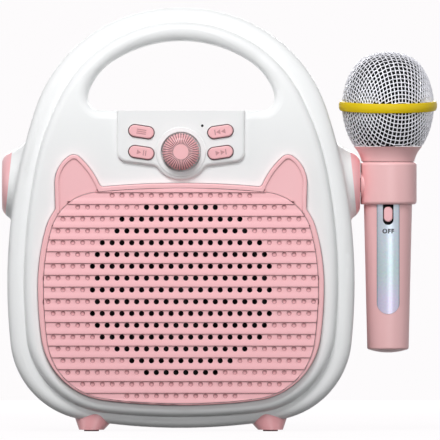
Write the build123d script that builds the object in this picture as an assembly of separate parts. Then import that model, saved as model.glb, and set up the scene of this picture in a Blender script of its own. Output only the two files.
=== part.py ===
from build123d import *
from math import asin, atan2, cos, radians, sin, sqrt
import os

# Karaoke speaker: a two-shell cabinet with a carrying handle, a perforated speaker grille in a
# frame with two ears, a control console, and a microphone that hangs in a swivelling side holder.
# Millimetres and degrees. X runs across the front, Y from front to back, Z up from the floor.
# x = 0 is the middle of the cabinet and y = 0 the joint of its two shells until the pieces are
# written; then everything is moved so that the origin is under the middle of the whole object.

# Cabinet outline, lower step (the silhouette)
body_half_width = 95.9
body_top = 234.0
body_bottom = 1.8
body_widest_z = body_top - 152.0
crown_radius = 101.4
crown_turn = 9.7
shoulder_turn = 71.7
base_radius = 329.0
base_turn = 9.6
corner_turn = 84.0

# Cabinet outline, upper step (the front face inside the valley line)
face_half_width = body_half_width - 9.5
face_top = body_top - 8.3
face_bottom = 8.2
face_crown_radius = 74.0
face_crown_turn = 62.3
face_shoulder_turn = 79.2
face_base_radius = 385.0
face_base_turn = 6.3
face_corner_turn = 84.3

# Cabinet depths
face_y = -40.0
step_y = face_y + 5.4
back_y = 46.0
lean_z = body_top - 76.0
face_setback = 15.0
step_setback = face_setback
back_setback = 24.0
wall = 2.4
step_round = 5.4
face_round = 4.3
valley_round = 0.9
back_round = 9.0

# Handle opening
opening_half_width = 51.9
opening_top = body_top - 18.0
opening_bottom = opening_top - 39.2
opening_widest_z = opening_bottom + 7.7
opening_crown_radius = 70.0
opening_crown_turn = 33.0
opening_shoulder_turn = 69.0
opening_round = 5.2

# Side bosses and their caps
boss_z = body_top - 98.0
boss_root_x = body_half_width - 12.5
boss_root_radius = 27.4
boss_waist_x = body_half_width - 7.4
boss_waist_radius = 21.7
boss_blend = 3.2
cap_root_x = body_half_width - 2.3
cap_root_radius = 18.9
cap_mid_x = body_half_width + 1.1
cap_mid_radius = 16.7
cap_face_x = body_half_width + 3.2
cap_face_radius = 13.3
cap_joint_top_x = cap_root_x
cap_joint_tilt = 5.8
spigot_radius = 11.0
spigot_inner_x = body_half_width - 9.4

# General clearances, how far a cut runs past the surface that it opens, and how near an edge
# lies to an outline and to the Y direction to count as on it and along it
seat_gap = 0.2
loose_gap = 0.3
overrun = 1.0
snap = 0.02
upright = 0.95

# Grille surround
surround_half_width = face_half_width - 7.5
surround_top = boss_z + 0.9
surround_bottom = 14.3
surround_widest_z = surround_top - 56.9
surround_crown_radius = 477.0
surround_crown_turn = 5.7
surround_shoulder_turn = 74.4
surround_base_radius = 329.0
surround_base_turn = 7.4
surround_corner_turn = 82.1
surround_front_y = -43.2
surround_recess = 1.4
surround_edge_round = 0.9
ear_tip_x = surround_half_width - 19.8
ear_tip_z = surround_top + 15.7
ear_tip_radius = 4.7
ear_outer_radius = 17.9
ear_outer_turn = 34.3
ear_outer_lean = 1.5
ear_outer_length = 22.0
ear_inner_radius = 45.0
ear_inner_turn = 42.0
ear_inner_lean = 24.0
ear_inner_length = 18.0
ear_notch_round = 2.5
ear_field_inset = 2.0
ear_field_depth = 0.8
ear_field_round = 0.5

# Grille panel
rim_side = 3.0
rim_top = 2.5
rim_bottom = 0.9
panel_gap = 0.15
panel_edge_y = -43.4
panel_bulge = 1.4
panel_skin = 1.8
panel_rim = 4.0
row_count = 18
row_top_z = surround_top - 6.8
row_low_z = 19.5
row_pitch = (row_top_z - row_low_z) / (row_count - 1)
hole_pitch = 5.42
hole_radius = 1.5
hole_sides = 6
first_open_row = 1
last_open_row = 15
groove_height = 3.4
groove_depth = 0.8
groove_ramp = 0.6

# Speaker
driver_z = (surround_top + surround_bottom) / 2 + 3.15
driver_flange_radius = (surround_top - surround_bottom) / 2 - 3.8
driver_window_radius = driver_flange_radius - 4.5
open_field_radius = driver_flange_radius - 6.5
driver_flange = 1.6
gasket_thickness = 1.2
gasket_width = 4.0
driver_seat_y = -35.6
driver_seat_rim = 1.0
cone_outer_radius = driver_flange_radius - 14.0
cone_neck_radius = 13.0
cone_depth = 19.0
cone_sheet = 0.8
roll_width = 6.5
roll_height = 2.6
roll_sheet = 0.7
roll_lip = 2.0
dust_cap_radius = 15.5
dust_cap_height = 5.5
basket_depth = 24.0
basket_neck_radius = driver_flange_radius - 20.5
basket_sheet = 1.2
basket_windows = 4
basket_window_width = 30.0
magnet_radius = 30.0
magnet_thickness = 12.0
pole_plate_radius = 28.0
pole_plate_thickness = 3.0
driver_screw_circle = driver_flange_radius - 2.7
driver_screw_radius = 1.2
driver_screw_head_radius = 2.4
driver_screw_head = 1.6
driver_screw_length = 4.6
driver_screw_count = 4
driver_screw_turn = 45.0

# Console
console_half_width = 35.2
console_side_z = opening_bottom - 27.7
console_centre_z = opening_bottom - 32.3
console_corner_round = 5.5
console_y = -42.5
console_edge_round = 1.9
console_ring_blend = 4.0
knob_ring_radius = 13.8
knob_ring_rise = 0.6
knob_ring_round = 0.5

# Volume knob and control
knob_z = opening_bottom - 22.6
knob_radius = 10.25
knob_front_y = -50.5
knob_side_y = -45.5
knob_gap = 0.5
knob_ring_gap = 0.9
knob_recess = 2.0
knob_face_radius = 4.2
knob_groove_count = 40
knob_groove_inner_width = 0.35
knob_groove_outer_width = 0.8
knob_groove_depth = 0.7
shaft_radius = 3.0
shaft_hole_radius = 3.6
shaft_fit = 0.05
shaft_engagement = 4.0
control_side = 11.0
control_depth = 5.8

# Buttons and their switches
button_x = 21.8
button_upper_z = opening_bottom - 11.5
button_lower_z = opening_bottom - 23.0
button_length = 13.8
button_height = 6.4
button_tilt = 8.5
button_proud = 1.5
button_gap = 0.5
button_edge_round = 0.7
button_travel = 0.8
button_flange_rim = 1.0
button_flange = 0.8
button_stem_radius = 1.5
board_y = -31.4
board_thickness = 1.6
board_half_width = 31.0
board_bottom_z = opening_bottom - 29.8
board_top_z = opening_bottom - 3.4
key_side = 6.0
key_height = 3.5
key_bore_depth = 1.5
key_bore_gap = 0.3
board_post_radius = 2.0
board_top_post_z = opening_bottom - 6.8
board_low_post_x = 9.7
board_low_post_z = opening_bottom - 27.3
indicator_x = 11.8
indicator_z = opening_bottom - 8.2
indicator_radius = 0.65
indicator_chip = 2.0
indicator_chip_height = 1.0

# Rear bay, main board and sockets
bay_z = boss_z - 18.0
bay_half_width = 36.0
bay_height = 15.0
bay_depth = 3.0
bay_round = 3.0
main_board_half_width = 42.0
main_board_half_height = 18.0
main_board_gap = 8.0
board_screw_radius = 1.1
board_screw_head_radius = 2.2
board_screw_head = 1.4
board_screw_length = 6.0
main_post_radius = 3.0
main_post_inset = 4.0
charge_x = -26.0
charge_width = 9.0
charge_height = 3.2
charge_mouth_width = 8.3
charge_mouth_height = 2.6
usb_x = -9.0
usb_width = 13.2
usb_height = 5.8
usb_mouth_width = 12.0
usb_mouth_height = 4.6
usb_mouth_depth = 7.0
audio_x = 7.0
audio_body = 7.0
audio_bore_radius = 1.8
audio_bore_depth = 8.5
card_x = 18.0
card_width = 11.6
card_height = 2.0
card_mouth_height = 1.0
power_x = 29.5
power_width = 8.4
power_height = 5.0
power_slot_width = 6.4
power_slot_height = 2.6
power_slider_width = 2.6
power_slider_proud = 1.6
power_travel = 3.0
power_slider_root = 2.0

# Battery
cell_radius = 9.2
cell_length = 65.0
cell_cap_radius = 3.0
cell_cap_length = 1.5
cell_z = 34.0
holder_wall = 1.6
holder_end_gap = 1.0

# Shell screws
screw_low_x = 60.0
screw_low_z = 25.0
screw_mid_x = body_half_width - 12.4
screw_mid_z = 98.0
screw_top_x = 63.5
screw_top_z = body_top - 48.0
screw_post_radius = 3.6
screw_radius = 1.4
screw_hole_radius = 1.8
screw_head_radius = 2.8
screw_head_hole_radius = 3.2
screw_head = 2.2
screw_seat_y = 10.0
screw_length = 20.0

# Feet
foot_x = 49.4
foot_y = -step_y - 6.1
foot_back_y = 30.0
foot_base_z = 0.8
foot_base_radius = 6.9
foot_top_z = 12.0
foot_top_radius = 14.2
foot_top_shift = 3.4
foot_top_setback = 8.5
pad_radius = 4.1

# Microphone and its holder
mic_x = cap_face_x + 15.5
grip_base_z = boss_z - 92.8
grip_base_radius = 11.45
grip_top_z = boss_z + 13.0
grip_top_radius = 13.9
grip_wall = 2.0
grip_end_round = 1.2
grip_end_sag = 2.0
collar_bottom_z = boss_z - 10.8
collar_top_z = boss_z + 12.7
collar_radius = 15.9
collar_bore_radius = 14.1
collar_round = 1.8
stem_radius = 9.0
stem_root_radius = 10.6
stem_flare = 4.5
stem_flare_sag = 0.5
pivot_radius = 4.0
pivot_fit = 0.05
pivot_end_gap = 0.2
washer_radius = 7.0
washer_thickness = 1.2
pivot_screw_radius = 1.5
pivot_screw_head_radius = 3.0
pivot_screw_head = 2.0
pivot_screw_length = 10.0
neck_base_radius = 14.6
neck_top_z = boss_z + 21.2
neck_top_radius = 18.9
neck_waist_radius = 16.0
neck_wall = 2.0
neck_spigot = 8.0
neck_ledge = 0.8
head_widest_z = boss_z + 44.0
head_radius = 25.6
head_top_z = head_widest_z + 30.1
head_crown_radius = 30.0
head_crown_turn = 22.0
head_shoulder_turn = 58.0
head_mesh = 0.6
ring_radius = 27.4
ring_height = 4.8
ring_round = 1.4
ring_gap = 0.1
ring_lean = 3.4
foam_gap = 0.4
foam_thickness = 3.0
capsule_radius = 7.5
capsule_length = 9.0
capsule_z = boss_z + 32.0
capsule_stalk_radius = 4.0
capsule_base = 1.5

# Microphone strip and switch
strip_width = 12.4
strip_end_z = grip_base_z + 21.4
strip_top_z = boss_z + 10.0
strip_proud = 0.2
strip_thickness = 0.9
strip_gap = 0.1
slot_width = 5.9
slot_bottom_z = boss_z - 22.1
slot_top_z = boss_z - 5.0
slider_width = 4.9
slider_bottom_z = boss_z - 20.4
slider_top_z = boss_z - 12.0
slider_proud = 0.35
slider_travel = 5.0
slider_round = 0.6
slider_root = 1.4
slider_root_width = 2.4
slider_root_height = 3.0
switch_depth = 1.6
switch_body_width = 8.0
switch_body_depth = 3.2
end_cap_radius = 8.6
end_cap_thickness = 3.4
mic_cell_radius = 9.2
mic_cell_length = 49.0
mic_cell_base_z = grip_base_z + end_cap_thickness + seat_gap
mic_board_clearance = 4.2
mic_board_offset = 4.8
mic_board_width = 14.0
mic_board_thickness = 1.2
mic_board_bottom_z = mic_cell_base_z + mic_cell_length + mic_board_clearance
mic_board_top_z = strip_top_z


def turn_point(centre, radius, turn):
    # The point of a circle at an angle measured from straight up.
    return (centre[0] + radius * sin(radians(turn)), centre[1] + radius * cos(radians(turn)))


def quarter_arcs(width, height, end_radius, end_turn, shoulder):
    # Three tangent arcs from (0, height) round to (width, 0): the first has a given radius, and
    # the other two take the radii that make the chain end upright at the given width.
    s1, c1 = sin(radians(end_turn)), cos(radians(end_turn))
    s2, c2 = sin(radians(shoulder)), cos(radians(shoulder))
    across = width - end_radius * s1
    down = height - end_radius * (1 - c1)
    share = (s2 - s1) * c2 - (1 - s2) * (c1 - c2)
    middle_radius = (across * c2 - (1 - s2) * down) / share
    flank_radius = ((s2 - s1) * down - (c1 - c2) * across) / share
    first = (0, height - end_radius)
    second = turn_point(first, end_radius - middle_radius, end_turn)
    third = turn_point(second, middle_radius - flank_radius, shoulder)
    return [
        (first, end_radius, 0, end_turn),
        (second, middle_radius, end_turn, shoulder),
        (third, flank_radius, shoulder, 90),
    ]


def arc_edges(arcs, middle_z, side, up, inset):
    # Edges in the XZ plane for one quarter; side and up are 1 or -1.
    edges = []
    for centre, radius, start, stop in arcs:
        points = []
        for turn in (start, (start + stop) / 2, stop):
            x, z = turn_point(centre, radius - inset, turn)
            points.append((side * x, 0, middle_z + up * z))
        edges.append(ThreePointArc(*points))
    return edges


def chain_face(half_width, top, bottom, middle_z, upper, lower, inset=0.0):
    # A closed outline of four quarters about x = 0, shrunk all round by inset.
    high = quarter_arcs(half_width, top - middle_z, *upper)
    low = quarter_arcs(half_width, middle_z - bottom, *lower)
    edges = []
    for side in (1, -1):
        edges += arc_edges(high, middle_z, side, 1, inset)
        edges += arc_edges(low, middle_z, side, -1, inset)
    return make_face(edges)


def body_face(inset=0.0):
    return chain_face(
        body_half_width, body_top, body_bottom, body_widest_z,
        (crown_radius, crown_turn, shoulder_turn), (base_radius, base_turn, corner_turn), inset,
    )


def front_face(inset=0.0):
    return chain_face(
        face_half_width, face_top, face_bottom, body_widest_z,
        (face_crown_radius, face_crown_turn, face_shoulder_turn),
        (face_base_radius, face_base_turn, face_corner_turn), inset,
    )


def opening_face(inset=0.0):
    # An arch of three arcs a side over a flat floor with round corners.
    rise = opening_top - opening_widest_z
    drop = opening_widest_z - opening_bottom
    arch = quarter_arcs(
        opening_half_width, rise, opening_crown_radius, opening_crown_turn, opening_shoulder_turn,
    )
    floor_x = opening_half_width - drop
    corner = [((floor_x, 0), drop, 0, 90)]
    floor_z = opening_bottom + inset
    edges = [Line((-floor_x, 0, floor_z), (floor_x, 0, floor_z))]
    for side in (1, -1):
        edges += arc_edges(arch, opening_widest_z, side, 1, inset)
        edges += arc_edges(corner, opening_widest_z, side, -1, inset)
    return make_face(edges)


def surround_face(side_rim=0.0, top_rim=0.0, bottom_rim=0.0, inset=0.0):
    return chain_face(
        surround_half_width - side_rim, surround_top - top_rim, surround_bottom + bottom_rim,
        surround_widest_z,
        (surround_crown_radius, surround_crown_turn, surround_shoulder_turn),
        (surround_base_radius, surround_base_turn, surround_corner_turn), inset,
    )


def slab(face, front, back):
    # A face of the XZ plane made solid between two depths.
    return extrude(face.moved(Location((0, front, 0))), back - front, dir=(0, 1, 0))


def rod(x, z, radius, front, back):
    # A cylinder along Y between two depths.
    return Location((x, front, z), (-90, 0, 0)) * Cylinder(
        radius, back - front, align=(Align.CENTER, Align.CENTER, Align.MIN))


def axle(z, radius, inner, outer):
    # A cylinder along X, about y = 0.
    return Location((inner, 0, z), (0, 90, 0)) * Cylinder(
        radius, outer - inner, align=(Align.CENTER, Align.CENTER, Align.MIN))


def block(x0, x1, y0, y1, z0, z1):
    return Location(((x0 + x1) / 2, (y0 + y1) / 2, (z0 + z1) / 2)) * Box(x1 - x0, y1 - y0, z1 - z0)


def lathe_y(points, x, z):
    # A polygon of (radius, depth) pairs turned about the Y direction through (x, z).
    profile = make_face(Polyline(*[(r, y, 0) for r, y in points], close=True))
    return Location((x, 0, z)) * revolve(profile, Axis.Y)


def lathe_z(edges, x=0.0):
    # Edges of (radius, 0, height) points turned about the upright line at x.
    return Location((x, 0, 0)) * revolve(make_face(edges), Axis.Z)


def follows(edge, outline, front, back):
    # True for an edge that runs along an outline between two depths.
    middle = edge @ 0.5
    direction = edge % 0.5
    near = outline.face().outer_wire().distance_to(Vertex(middle.X, 0, middle.Z)) < snap
    return near and front < middle.Y < back and abs(direction.Y) < upright


def rim_edges(solid, outline, front, back):
    return [edge for edge in solid.edges() if follows(edge, outline, front, back)]


def lean_depths(depth, setback, inset):
    # Depth at the floor and above the crown of a surface that leans in on one arc.
    rise = body_top - lean_z
    toward = 1 if depth < 0 else -1
    radius = (rise ** 2 + setback ** 2) / (2 * setback) - inset
    low = depth + toward * inset
    centre = low + toward * radius
    above = body_top + step_round - lean_z
    middle = above / 2
    high = centre - toward * sqrt(radius ** 2 - above ** 2)
    halfway = centre - toward * sqrt(radius ** 2 - middle ** 2)
    return low, halfway, high


def depth_block(front, front_lean, back, back_lean, inset=0.0):
    # The space between the front and back surfaces, which lean in above lean_z.
    f_low, f_half, f_high = lean_depths(front, front_lean, inset)
    b_low, b_half, b_high = lean_depths(back, back_lean, inset)
    top = body_top + step_round
    half = (top + lean_z) / 2
    under = body_bottom - step_round
    edges = [
        Line((0, f_low, under), (0, f_low, lean_z)),
        ThreePointArc((0, f_low, lean_z), (0, f_half, half), (0, f_high, top)),
        Line((0, f_high, top), (0, b_high, top)),
        ThreePointArc((0, b_high, top), (0, b_half, half), (0, b_low, lean_z)),
        Line((0, b_low, lean_z), (0, b_low, under)),
        Line((0, b_low, under), (0, f_low, under)),
    ]
    reach = body_half_width + wall
    profile = make_face(edges).moved(Location((-reach, 0, 0)))
    return extrude(profile, 2 * reach, dir=(1, 0, 0))


def to_side(solid, side):
    # A form made for the right side, turned round to the left where asked.
    return solid if side > 0 else Location((0, 0, 0), (0, 0, 180)) * solid


def boss_turning(side):
    # Fairing and cap as one turned form about the pivot line of one side.
    edges = [
        Line((boss_root_x, 0, 0), (boss_root_x, 0, boss_root_radius)),
        ThreePointArc(
            (boss_root_x, 0, boss_root_radius), (boss_waist_x, 0, boss_waist_radius),
            (cap_root_x, 0, cap_root_radius)),
        ThreePointArc(
            (cap_root_x, 0, cap_root_radius), (cap_mid_x, 0, cap_mid_radius),
            (cap_face_x, 0, cap_face_radius)),
        Polyline((cap_face_x, 0, cap_face_radius), (cap_face_x, 0, 0), (boss_root_x, 0, 0)),
    ]
    turned = Location((0, 0, boss_z)) * revolve(make_face(edges), Axis.X)
    return to_side(turned, side)


def outside_joint(side, shift=0.0):
    # The half-space outside the tilted joint between a fairing and its cap.
    size = 4 * cap_root_radius
    tilt = Location((cap_joint_top_x + shift, 0, boss_z + cap_root_radius), (0, -cap_joint_tilt, 0))
    half = tilt * Box(size, size, size, align=(Align.MIN, Align.CENTER, Align.CENTER))
    return to_side(half, side)


def console_face(inset=0.0):
    outline = Polyline(
        (-console_half_width, 0, opening_bottom), (-console_half_width, 0, console_side_z),
        (0, 0, console_centre_z), (console_half_width, 0, console_side_z),
        (console_half_width, 0, opening_bottom), close=True)
    face = make_face(outline)
    corners = [v for v in face.vertices() if abs(v.Z - console_side_z) < 0.01]
    return fillet(corners, console_corner_round)


def screw_points():
    pairs = ((screw_low_x, screw_low_z), (screw_mid_x, screw_mid_z), (screw_top_x, screw_top_z))
    return [(side * x, z) for x, z in pairs for side in (1, -1)]


def cavity_solid():
    # The hollow inside both shells, one wall in from the outside and clear of the opening.
    low = slab(body_face(wall), step_y + wall, back_y - wall)
    low = low & depth_block(step_y, step_setback, back_y, back_setback, wall)
    low = fillet(rim_edges(low, body_face(wall), 0, back_y), back_round - wall)
    high = slab(front_face(wall), face_y + wall, 0)
    high = high & depth_block(face_y, face_setback, back_y, back_setback, wall)
    bay = slab(bay_face(wall), back_y - bay_depth - wall, back_y)
    return low + high - slab(opening_face(-wall), console_y, back_y) - bay


def bay_face(grow=0.0):
    outline = RectangleRounded(
        2 * (bay_half_width + grow), bay_height + 2 * grow, bay_round + grow)
    return (Plane.XZ * (Location((0, bay_z, 0)) * outline)).face()


def cabinet_solid():
    # The outside of the closed cabinet, both shells in one.
    tunnel = slab(opening_face(), knob_front_y, back_y + wall)
    high = slab(front_face(), face_y, 0)
    high = (high & depth_block(face_y, face_setback, back_y, back_setback)) - tunnel
    high = fillet(rim_edges(high, opening_face(), face_y - overrun, step_y + face_setback), opening_round)
    high = fillet(rim_edges(high, front_face(), face_y - overrun, step_y + step_setback), face_round)
    low = slab(body_face(), step_y, back_y)
    low = (low & depth_block(step_y, step_setback, back_y, back_setback)) - tunnel
    low = fillet(rim_edges(low, body_face(), step_y - overrun, 0), step_round)
    low = fillet(rim_edges(low, body_face(), 0, back_y + overrun), back_round)
    low = fillet(rim_edges(low, opening_face(), 0, back_y + overrun), opening_round)
    whole = low + high
    valley = rim_edges(whole, front_face(), step_y - overrun, step_y + step_setback + overrun)
    whole = fillet(valley, valley_round)
    for side in (1, -1):
        whole = whole + boss_turning(side)
        whole = fillet([e for e in whole.edges() if on_boss_root(e, side)], boss_blend)
        whole = whole - outside_joint(side)
    return whole


def on_boss_root(edge, side):
    # True for the curves where a boss meets the flank.
    middle = edge @ 0.5
    reach = sqrt(middle.Y ** 2 + (middle.Z - boss_z) ** 2)
    inside = boss_root_x < side * middle.X < cap_mid_x
    return inside and cap_mid_radius < reach < boss_root_radius and edge.geom_type == GeomType.BSPLINE


def ear_face(side, grow=0.0):
    # A pointed ear: a small tip arc between a full outer arc and a flatter inner arc, with a
    # straight run below each; its foot lies behind the panel.
    tip = (ear_tip_x, ear_tip_z - ear_tip_radius)
    outer = turn_point(tip, ear_tip_radius - ear_outer_radius, ear_outer_turn)
    inner = turn_point(tip, ear_tip_radius - ear_inner_radius, -ear_inner_turn)
    outer_end, inner_end = 90 + ear_outer_lean, -ear_inner_turn - ear_inner_lean
    outer_low = turn_point(outer, ear_outer_radius + grow, outer_end)
    inner_low = turn_point(inner, ear_inner_radius + grow, inner_end)
    outline = [
        turn_point(outer_low, ear_outer_length, outer_end + 90), outer_low,
        turn_point(outer, ear_outer_radius + grow, (outer_end + ear_outer_turn) / 2),
        turn_point(outer, ear_outer_radius + grow, ear_outer_turn),
        turn_point(tip, ear_tip_radius + grow, (ear_outer_turn - ear_inner_turn) / 2),
        turn_point(inner, ear_inner_radius + grow, -ear_inner_turn),
        turn_point(inner, ear_inner_radius + grow, (inner_end - ear_inner_turn) / 2), inner_low,
        turn_point(inner_low, ear_inner_length, inner_end - 90),
    ]
    at = [(side * x, 0, z) for x, z in outline]
    edges = [
        Line(at[0], at[1]), ThreePointArc(*at[1:4]), ThreePointArc(*at[3:6]), ThreePointArc(*at[5:8]),
        Line(at[7], at[8]), Line(at[8], at[0])]
    return make_face(edges).face()


def surround_slab(grow, front, back):
    # The surround's outline with both ears, between two depths, its notches rounded.
    outline = surround_face(inset=-grow).face()
    body = slab(outline, front, back)
    ears = [ear_face(side, grow) for side in (1, -1)]
    for ear in ears:
        body = body + slab(ear, front, back)

    def in_notch(edge):
        spot = edge @ 0.5
        place = Vertex(spot.X, 0, spot.Z)
        reach = min(ear.outer_wire().distance_to(place) for ear in ears)
        return max(reach, outline.outer_wire().distance_to(place)) < snap

    notches = [edge for edge in body.edges().filter_by(Axis.Y) if in_notch(edge)]
    return fillet(notches, ear_notch_round - grow)


def panel_face(grow=0.0):
    return surround_face(rim_side, rim_top, rim_bottom, -grow)


def pill_face(side, z, grow=0.0):
    # A button's outline, with its outer end tilted up.
    shape = SlotOverall(button_length + 2 * grow, button_height + 2 * grow)
    return (Plane.XZ * (Location((side * button_x, z, 0), (0, 0, side * button_tilt)) * shape)).face()


def button_places():
    return {
        "button_mode": (-1, button_upper_z), "button_play": (-1, button_lower_z),
        "button_previous": (1, button_upper_z), "button_next": (1, button_lower_z),
    }


def board_posts():
    low_x, low_z = board_low_post_x, board_low_post_z
    return [(0, board_top_post_z), (-low_x, low_z), (low_x, low_z)]


def main_posts():
    x = main_board_half_width - main_post_inset
    rise = main_board_half_height - main_post_inset
    return [(sx * x, bay_z + sz * rise) for sx in (1, -1) for sz in (1, -1)]


# Depths that several pieces share
cavity_front_y = face_y + wall
cavity_back_y = back_y - wall
bay_floor_y = back_y - bay_depth
bay_inner_y = bay_floor_y - wall
surround_seat_y = face_y + surround_recess
ring_front_y = console_y - knob_ring_rise
knob_floor_y = ring_front_y + knob_recess
button_flange_y = cavity_front_y + seat_gap
button_back_y = button_flange_y + button_flange + button_travel + seat_gap
key_front_y = board_y - key_height
control_front_y = board_y - control_depth
main_board_back_y = bay_inner_y - main_board_gap
main_board_front_y = main_board_back_y - board_thickness
flange_front_y = driver_seat_y + gasket_thickness
flange_back_y = flange_front_y + driver_flange
basket_back_y = flange_back_y + basket_depth


def make_shells():
    cabinet = cabinet_solid()
    ring = rod(0, knob_z, knob_ring_radius, ring_front_y, cavity_front_y)
    ring = fillet(ring.edges().group_by(Axis.Y)[0], knob_ring_round)
    console_back_y = face_y + opening_round + wall
    console = slab(console_face(), console_y, console_back_y)
    console = console + rod(0, knob_z, knob_ring_radius + console_edge_round, console_y, console_back_y)
    corners = [e for e in console.edges().filter_by(Axis.Y) if abs((e @ 0.5).X) < console_half_width / 2]
    corners = [e for e in corners if (e @ 0.5).Z < console_side_z and abs((e @ 0.5).X) > overrun]
    console = fillet(corners, console_ring_blend)
    front_edges = [
        e for e in console.edges().group_by(Axis.Y)[0] if (e @ 0.5).Z < opening_bottom - overrun]
    console = fillet(front_edges, console_edge_round)
    cabinet = cabinet + console + ring
    cabinet = cabinet - slab(bay_face(), bay_floor_y, back_y + wall)
    shell = cabinet - cavity_solid()
    shell = shell - rod(0, knob_z, knob_radius + knob_ring_gap, knob_front_y, knob_floor_y)
    shell = shell - rod(0, knob_z, shaft_hole_radius, knob_front_y, cavity_front_y + wall)
    for side, z in button_places().values():
        shell = shell - slab(pill_face(side, z, button_gap), knob_front_y, cavity_front_y)
        shell = shell - slab(
            pill_face(side, z, button_flange_rim + button_gap), cavity_front_y, button_back_y)
    shell = shell - rod(indicator_x, indicator_z, indicator_radius + seat_gap / 2, knob_front_y, board_y)
    shell = shell - surround_slab(loose_gap, surround_front_y, surround_seat_y)
    seat = rod(0, driver_z, driver_flange_radius + driver_seat_rim, surround_seat_y, driver_seat_y)
    shell = shell + (seat & slab(front_face(wall / 2), face_y, 0))
    shell = shell - rod(0, driver_z, driver_window_radius, knob_front_y, driver_seat_y)
    for x, z in driver_screws():
        shell = shell - rod(x, z, driver_screw_radius, flange_back_y - driver_screw_length, driver_seat_y)
    for side in (1, -1):
        bore = axle(boss_z, spigot_radius + seat_gap, spigot_inner_x - wall, cap_face_x)
        shell = shell - to_side(bore, side)
    for x, z in board_posts():
        shell = shell + rod(x, z, board_post_radius, cavity_front_y, board_y)
    for x, z in main_posts():
        post = rod(x, z, main_post_radius, main_board_back_y, cavity_back_y)
        pilot = rod(x, z, board_screw_radius, main_board_back_y, main_board_front_y + board_screw_length)
        shell = shell + post - pilot
    for x, z in screw_points():
        post = rod(x, z, screw_post_radius, surround_seat_y, cavity_back_y + wall / 2)
        shell = shell + (post & cabinet)
        shell = shell - rod(x, z, screw_head_hole_radius, screw_seat_y, back_y + wall)
        shell = shell - rod(x, z, screw_hole_radius, 0, screw_seat_y)
        shell = shell - rod(x, z, screw_radius, screw_seat_y - screw_length, 0)
    for x, width, height in socket_mouths():
        shell = shell - block(
            x - width / 2 - seat_gap, x + width / 2 + seat_gap, bay_inner_y, bay_floor_y,
            bay_z - height / 2 - seat_gap, bay_z + height / 2 + seat_gap)
    size = 2 * (body_top + back_y)
    front_half = Box(size, size, size, align=(Align.CENTER, Align.MAX, Align.CENTER))
    return shell & front_half, shell - front_half, cabinet


def driver_screws():
    places = []
    for index in range(driver_screw_count):
        turn = driver_screw_turn + 360 * index / driver_screw_count
        places.append(turn_point((0, driver_z), driver_screw_circle, turn))
    return places


def socket_mouths():
    return [
        (charge_x, charge_width, charge_height), (usb_x, usb_width, usb_height),
        (audio_x, audio_body, audio_body), (card_x, card_width, card_height),
        (power_x, power_width, power_height),
    ]


def make_surround():
    ring = surround_slab(0, surround_front_y, surround_seat_y)
    outer_edges = [e for e in ring.edges().group_by(Axis.Y)[0]]
    ring = fillet(outer_edges, surround_edge_round)
    for side in (1, -1):
        field = slab(
            ear_face(side, -ear_field_inset), surround_front_y - overrun, surround_front_y + ear_field_depth)
        field = fillet(field.edges().group_by(Axis.Y)[-1], ear_field_round)
        ring = ring - field
    return ring - slab(panel_face(), surround_front_y - wall, surround_seat_y)


def panel_depth(z):
    # Front of the panel's bars, which swell forward towards the middle of its height.
    half = (surround_top - rim_top - surround_bottom - rim_bottom) / 2
    middle = surround_bottom + rim_bottom + half
    return panel_edge_y - panel_bulge * (1 - ((z - middle) / half) ** 2)


def louvre_block():
    # Bars and grooves as one stepped section, run across the whole panel.
    top = surround_top
    bottom = surround_bottom - row_pitch / 2
    points = [(surround_seat_y, top), (panel_depth(top), top)]
    for row in range(row_count):
        z = row_top_z - row * row_pitch
        upper, lower = z + groove_height / 2, z - groove_height / 2
        points += [
            (panel_depth(upper), upper), (panel_depth(upper) + groove_depth, upper),
            (panel_depth(lower) + groove_depth, lower),
            (panel_depth(lower - groove_ramp), lower - groove_ramp),
        ]
    points += [(panel_depth(bottom), bottom), (surround_seat_y, bottom)]
    profile = make_face(Polyline(*[(-surround_half_width, y, z) for y, z in points], close=True))
    return extrude(profile, 2 * surround_half_width, dir=(1, 0, 0))


def hollow_block():
    # The room behind the grille's skin, which swells forward with its bars.
    x, low, top = -surround_half_width, surround_bottom, surround_top
    back = surround_seat_y + overrun
    front = [panel_depth(z) + groove_depth + panel_skin for z in (low, driver_z, top)]
    profile = make_face([
        ThreePointArc((x, front[0], low), (x, front[1], driver_z), (x, front[2], top)),
        Polyline((x, front[2], top), (x, back, top), (x, back, low), (x, front[0], low)),
    ])
    return extrude(profile, 2 * surround_half_width, dir=(1, 0, 0))


def open_holes():
    # Staggered hole centres that lie in the round open field.
    places = []
    for row in range(first_open_row, last_open_row + 1):
        z = row_top_z - row * row_pitch
        shift = hole_pitch / 2 if row % 2 else 0
        for step in range(-row_count, row_count + 1):
            x = step * hole_pitch + shift
            if x ** 2 + (z - driver_z) ** 2 <= open_field_radius ** 2:
                places.append((x, z))
    return places


def make_grille():
    front = panel_edge_y - panel_bulge - overrun
    panel = louvre_block() & slab(panel_face(-panel_gap), front, surround_seat_y)
    panel = panel - (hollow_block() & slab(panel_face(-panel_rim), front, surround_seat_y + overrun))
    shape = RegularPolygon(hole_radius, hole_sides)
    holes = [Plane.XZ * (Location((x, z, 0)) * shape) for x, z in open_holes()]
    reach = surround_seat_y - panel_edge_y + panel_bulge + 2 * wall
    cutters = [
        extrude(hole.face().moved(Location((0, surround_seat_y + wall, 0))), reach + wall, dir=(0, -1, 0))
        for hole in holes]
    return panel - cutters


def shallow_arc(radius, height, seat):
    # Half of a dome's section: from its top on the axis to its rim, in front of the seat.
    sweep = (radius ** 2 + height ** 2) / (2 * height)
    half = asin(radius / sweep) / 2
    middle = (sweep * sin(half), seat - height + sweep * (1 - cos(half)), 0)
    return ThreePointArc((0, seat - height, 0), middle, (radius, seat, 0))


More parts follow.
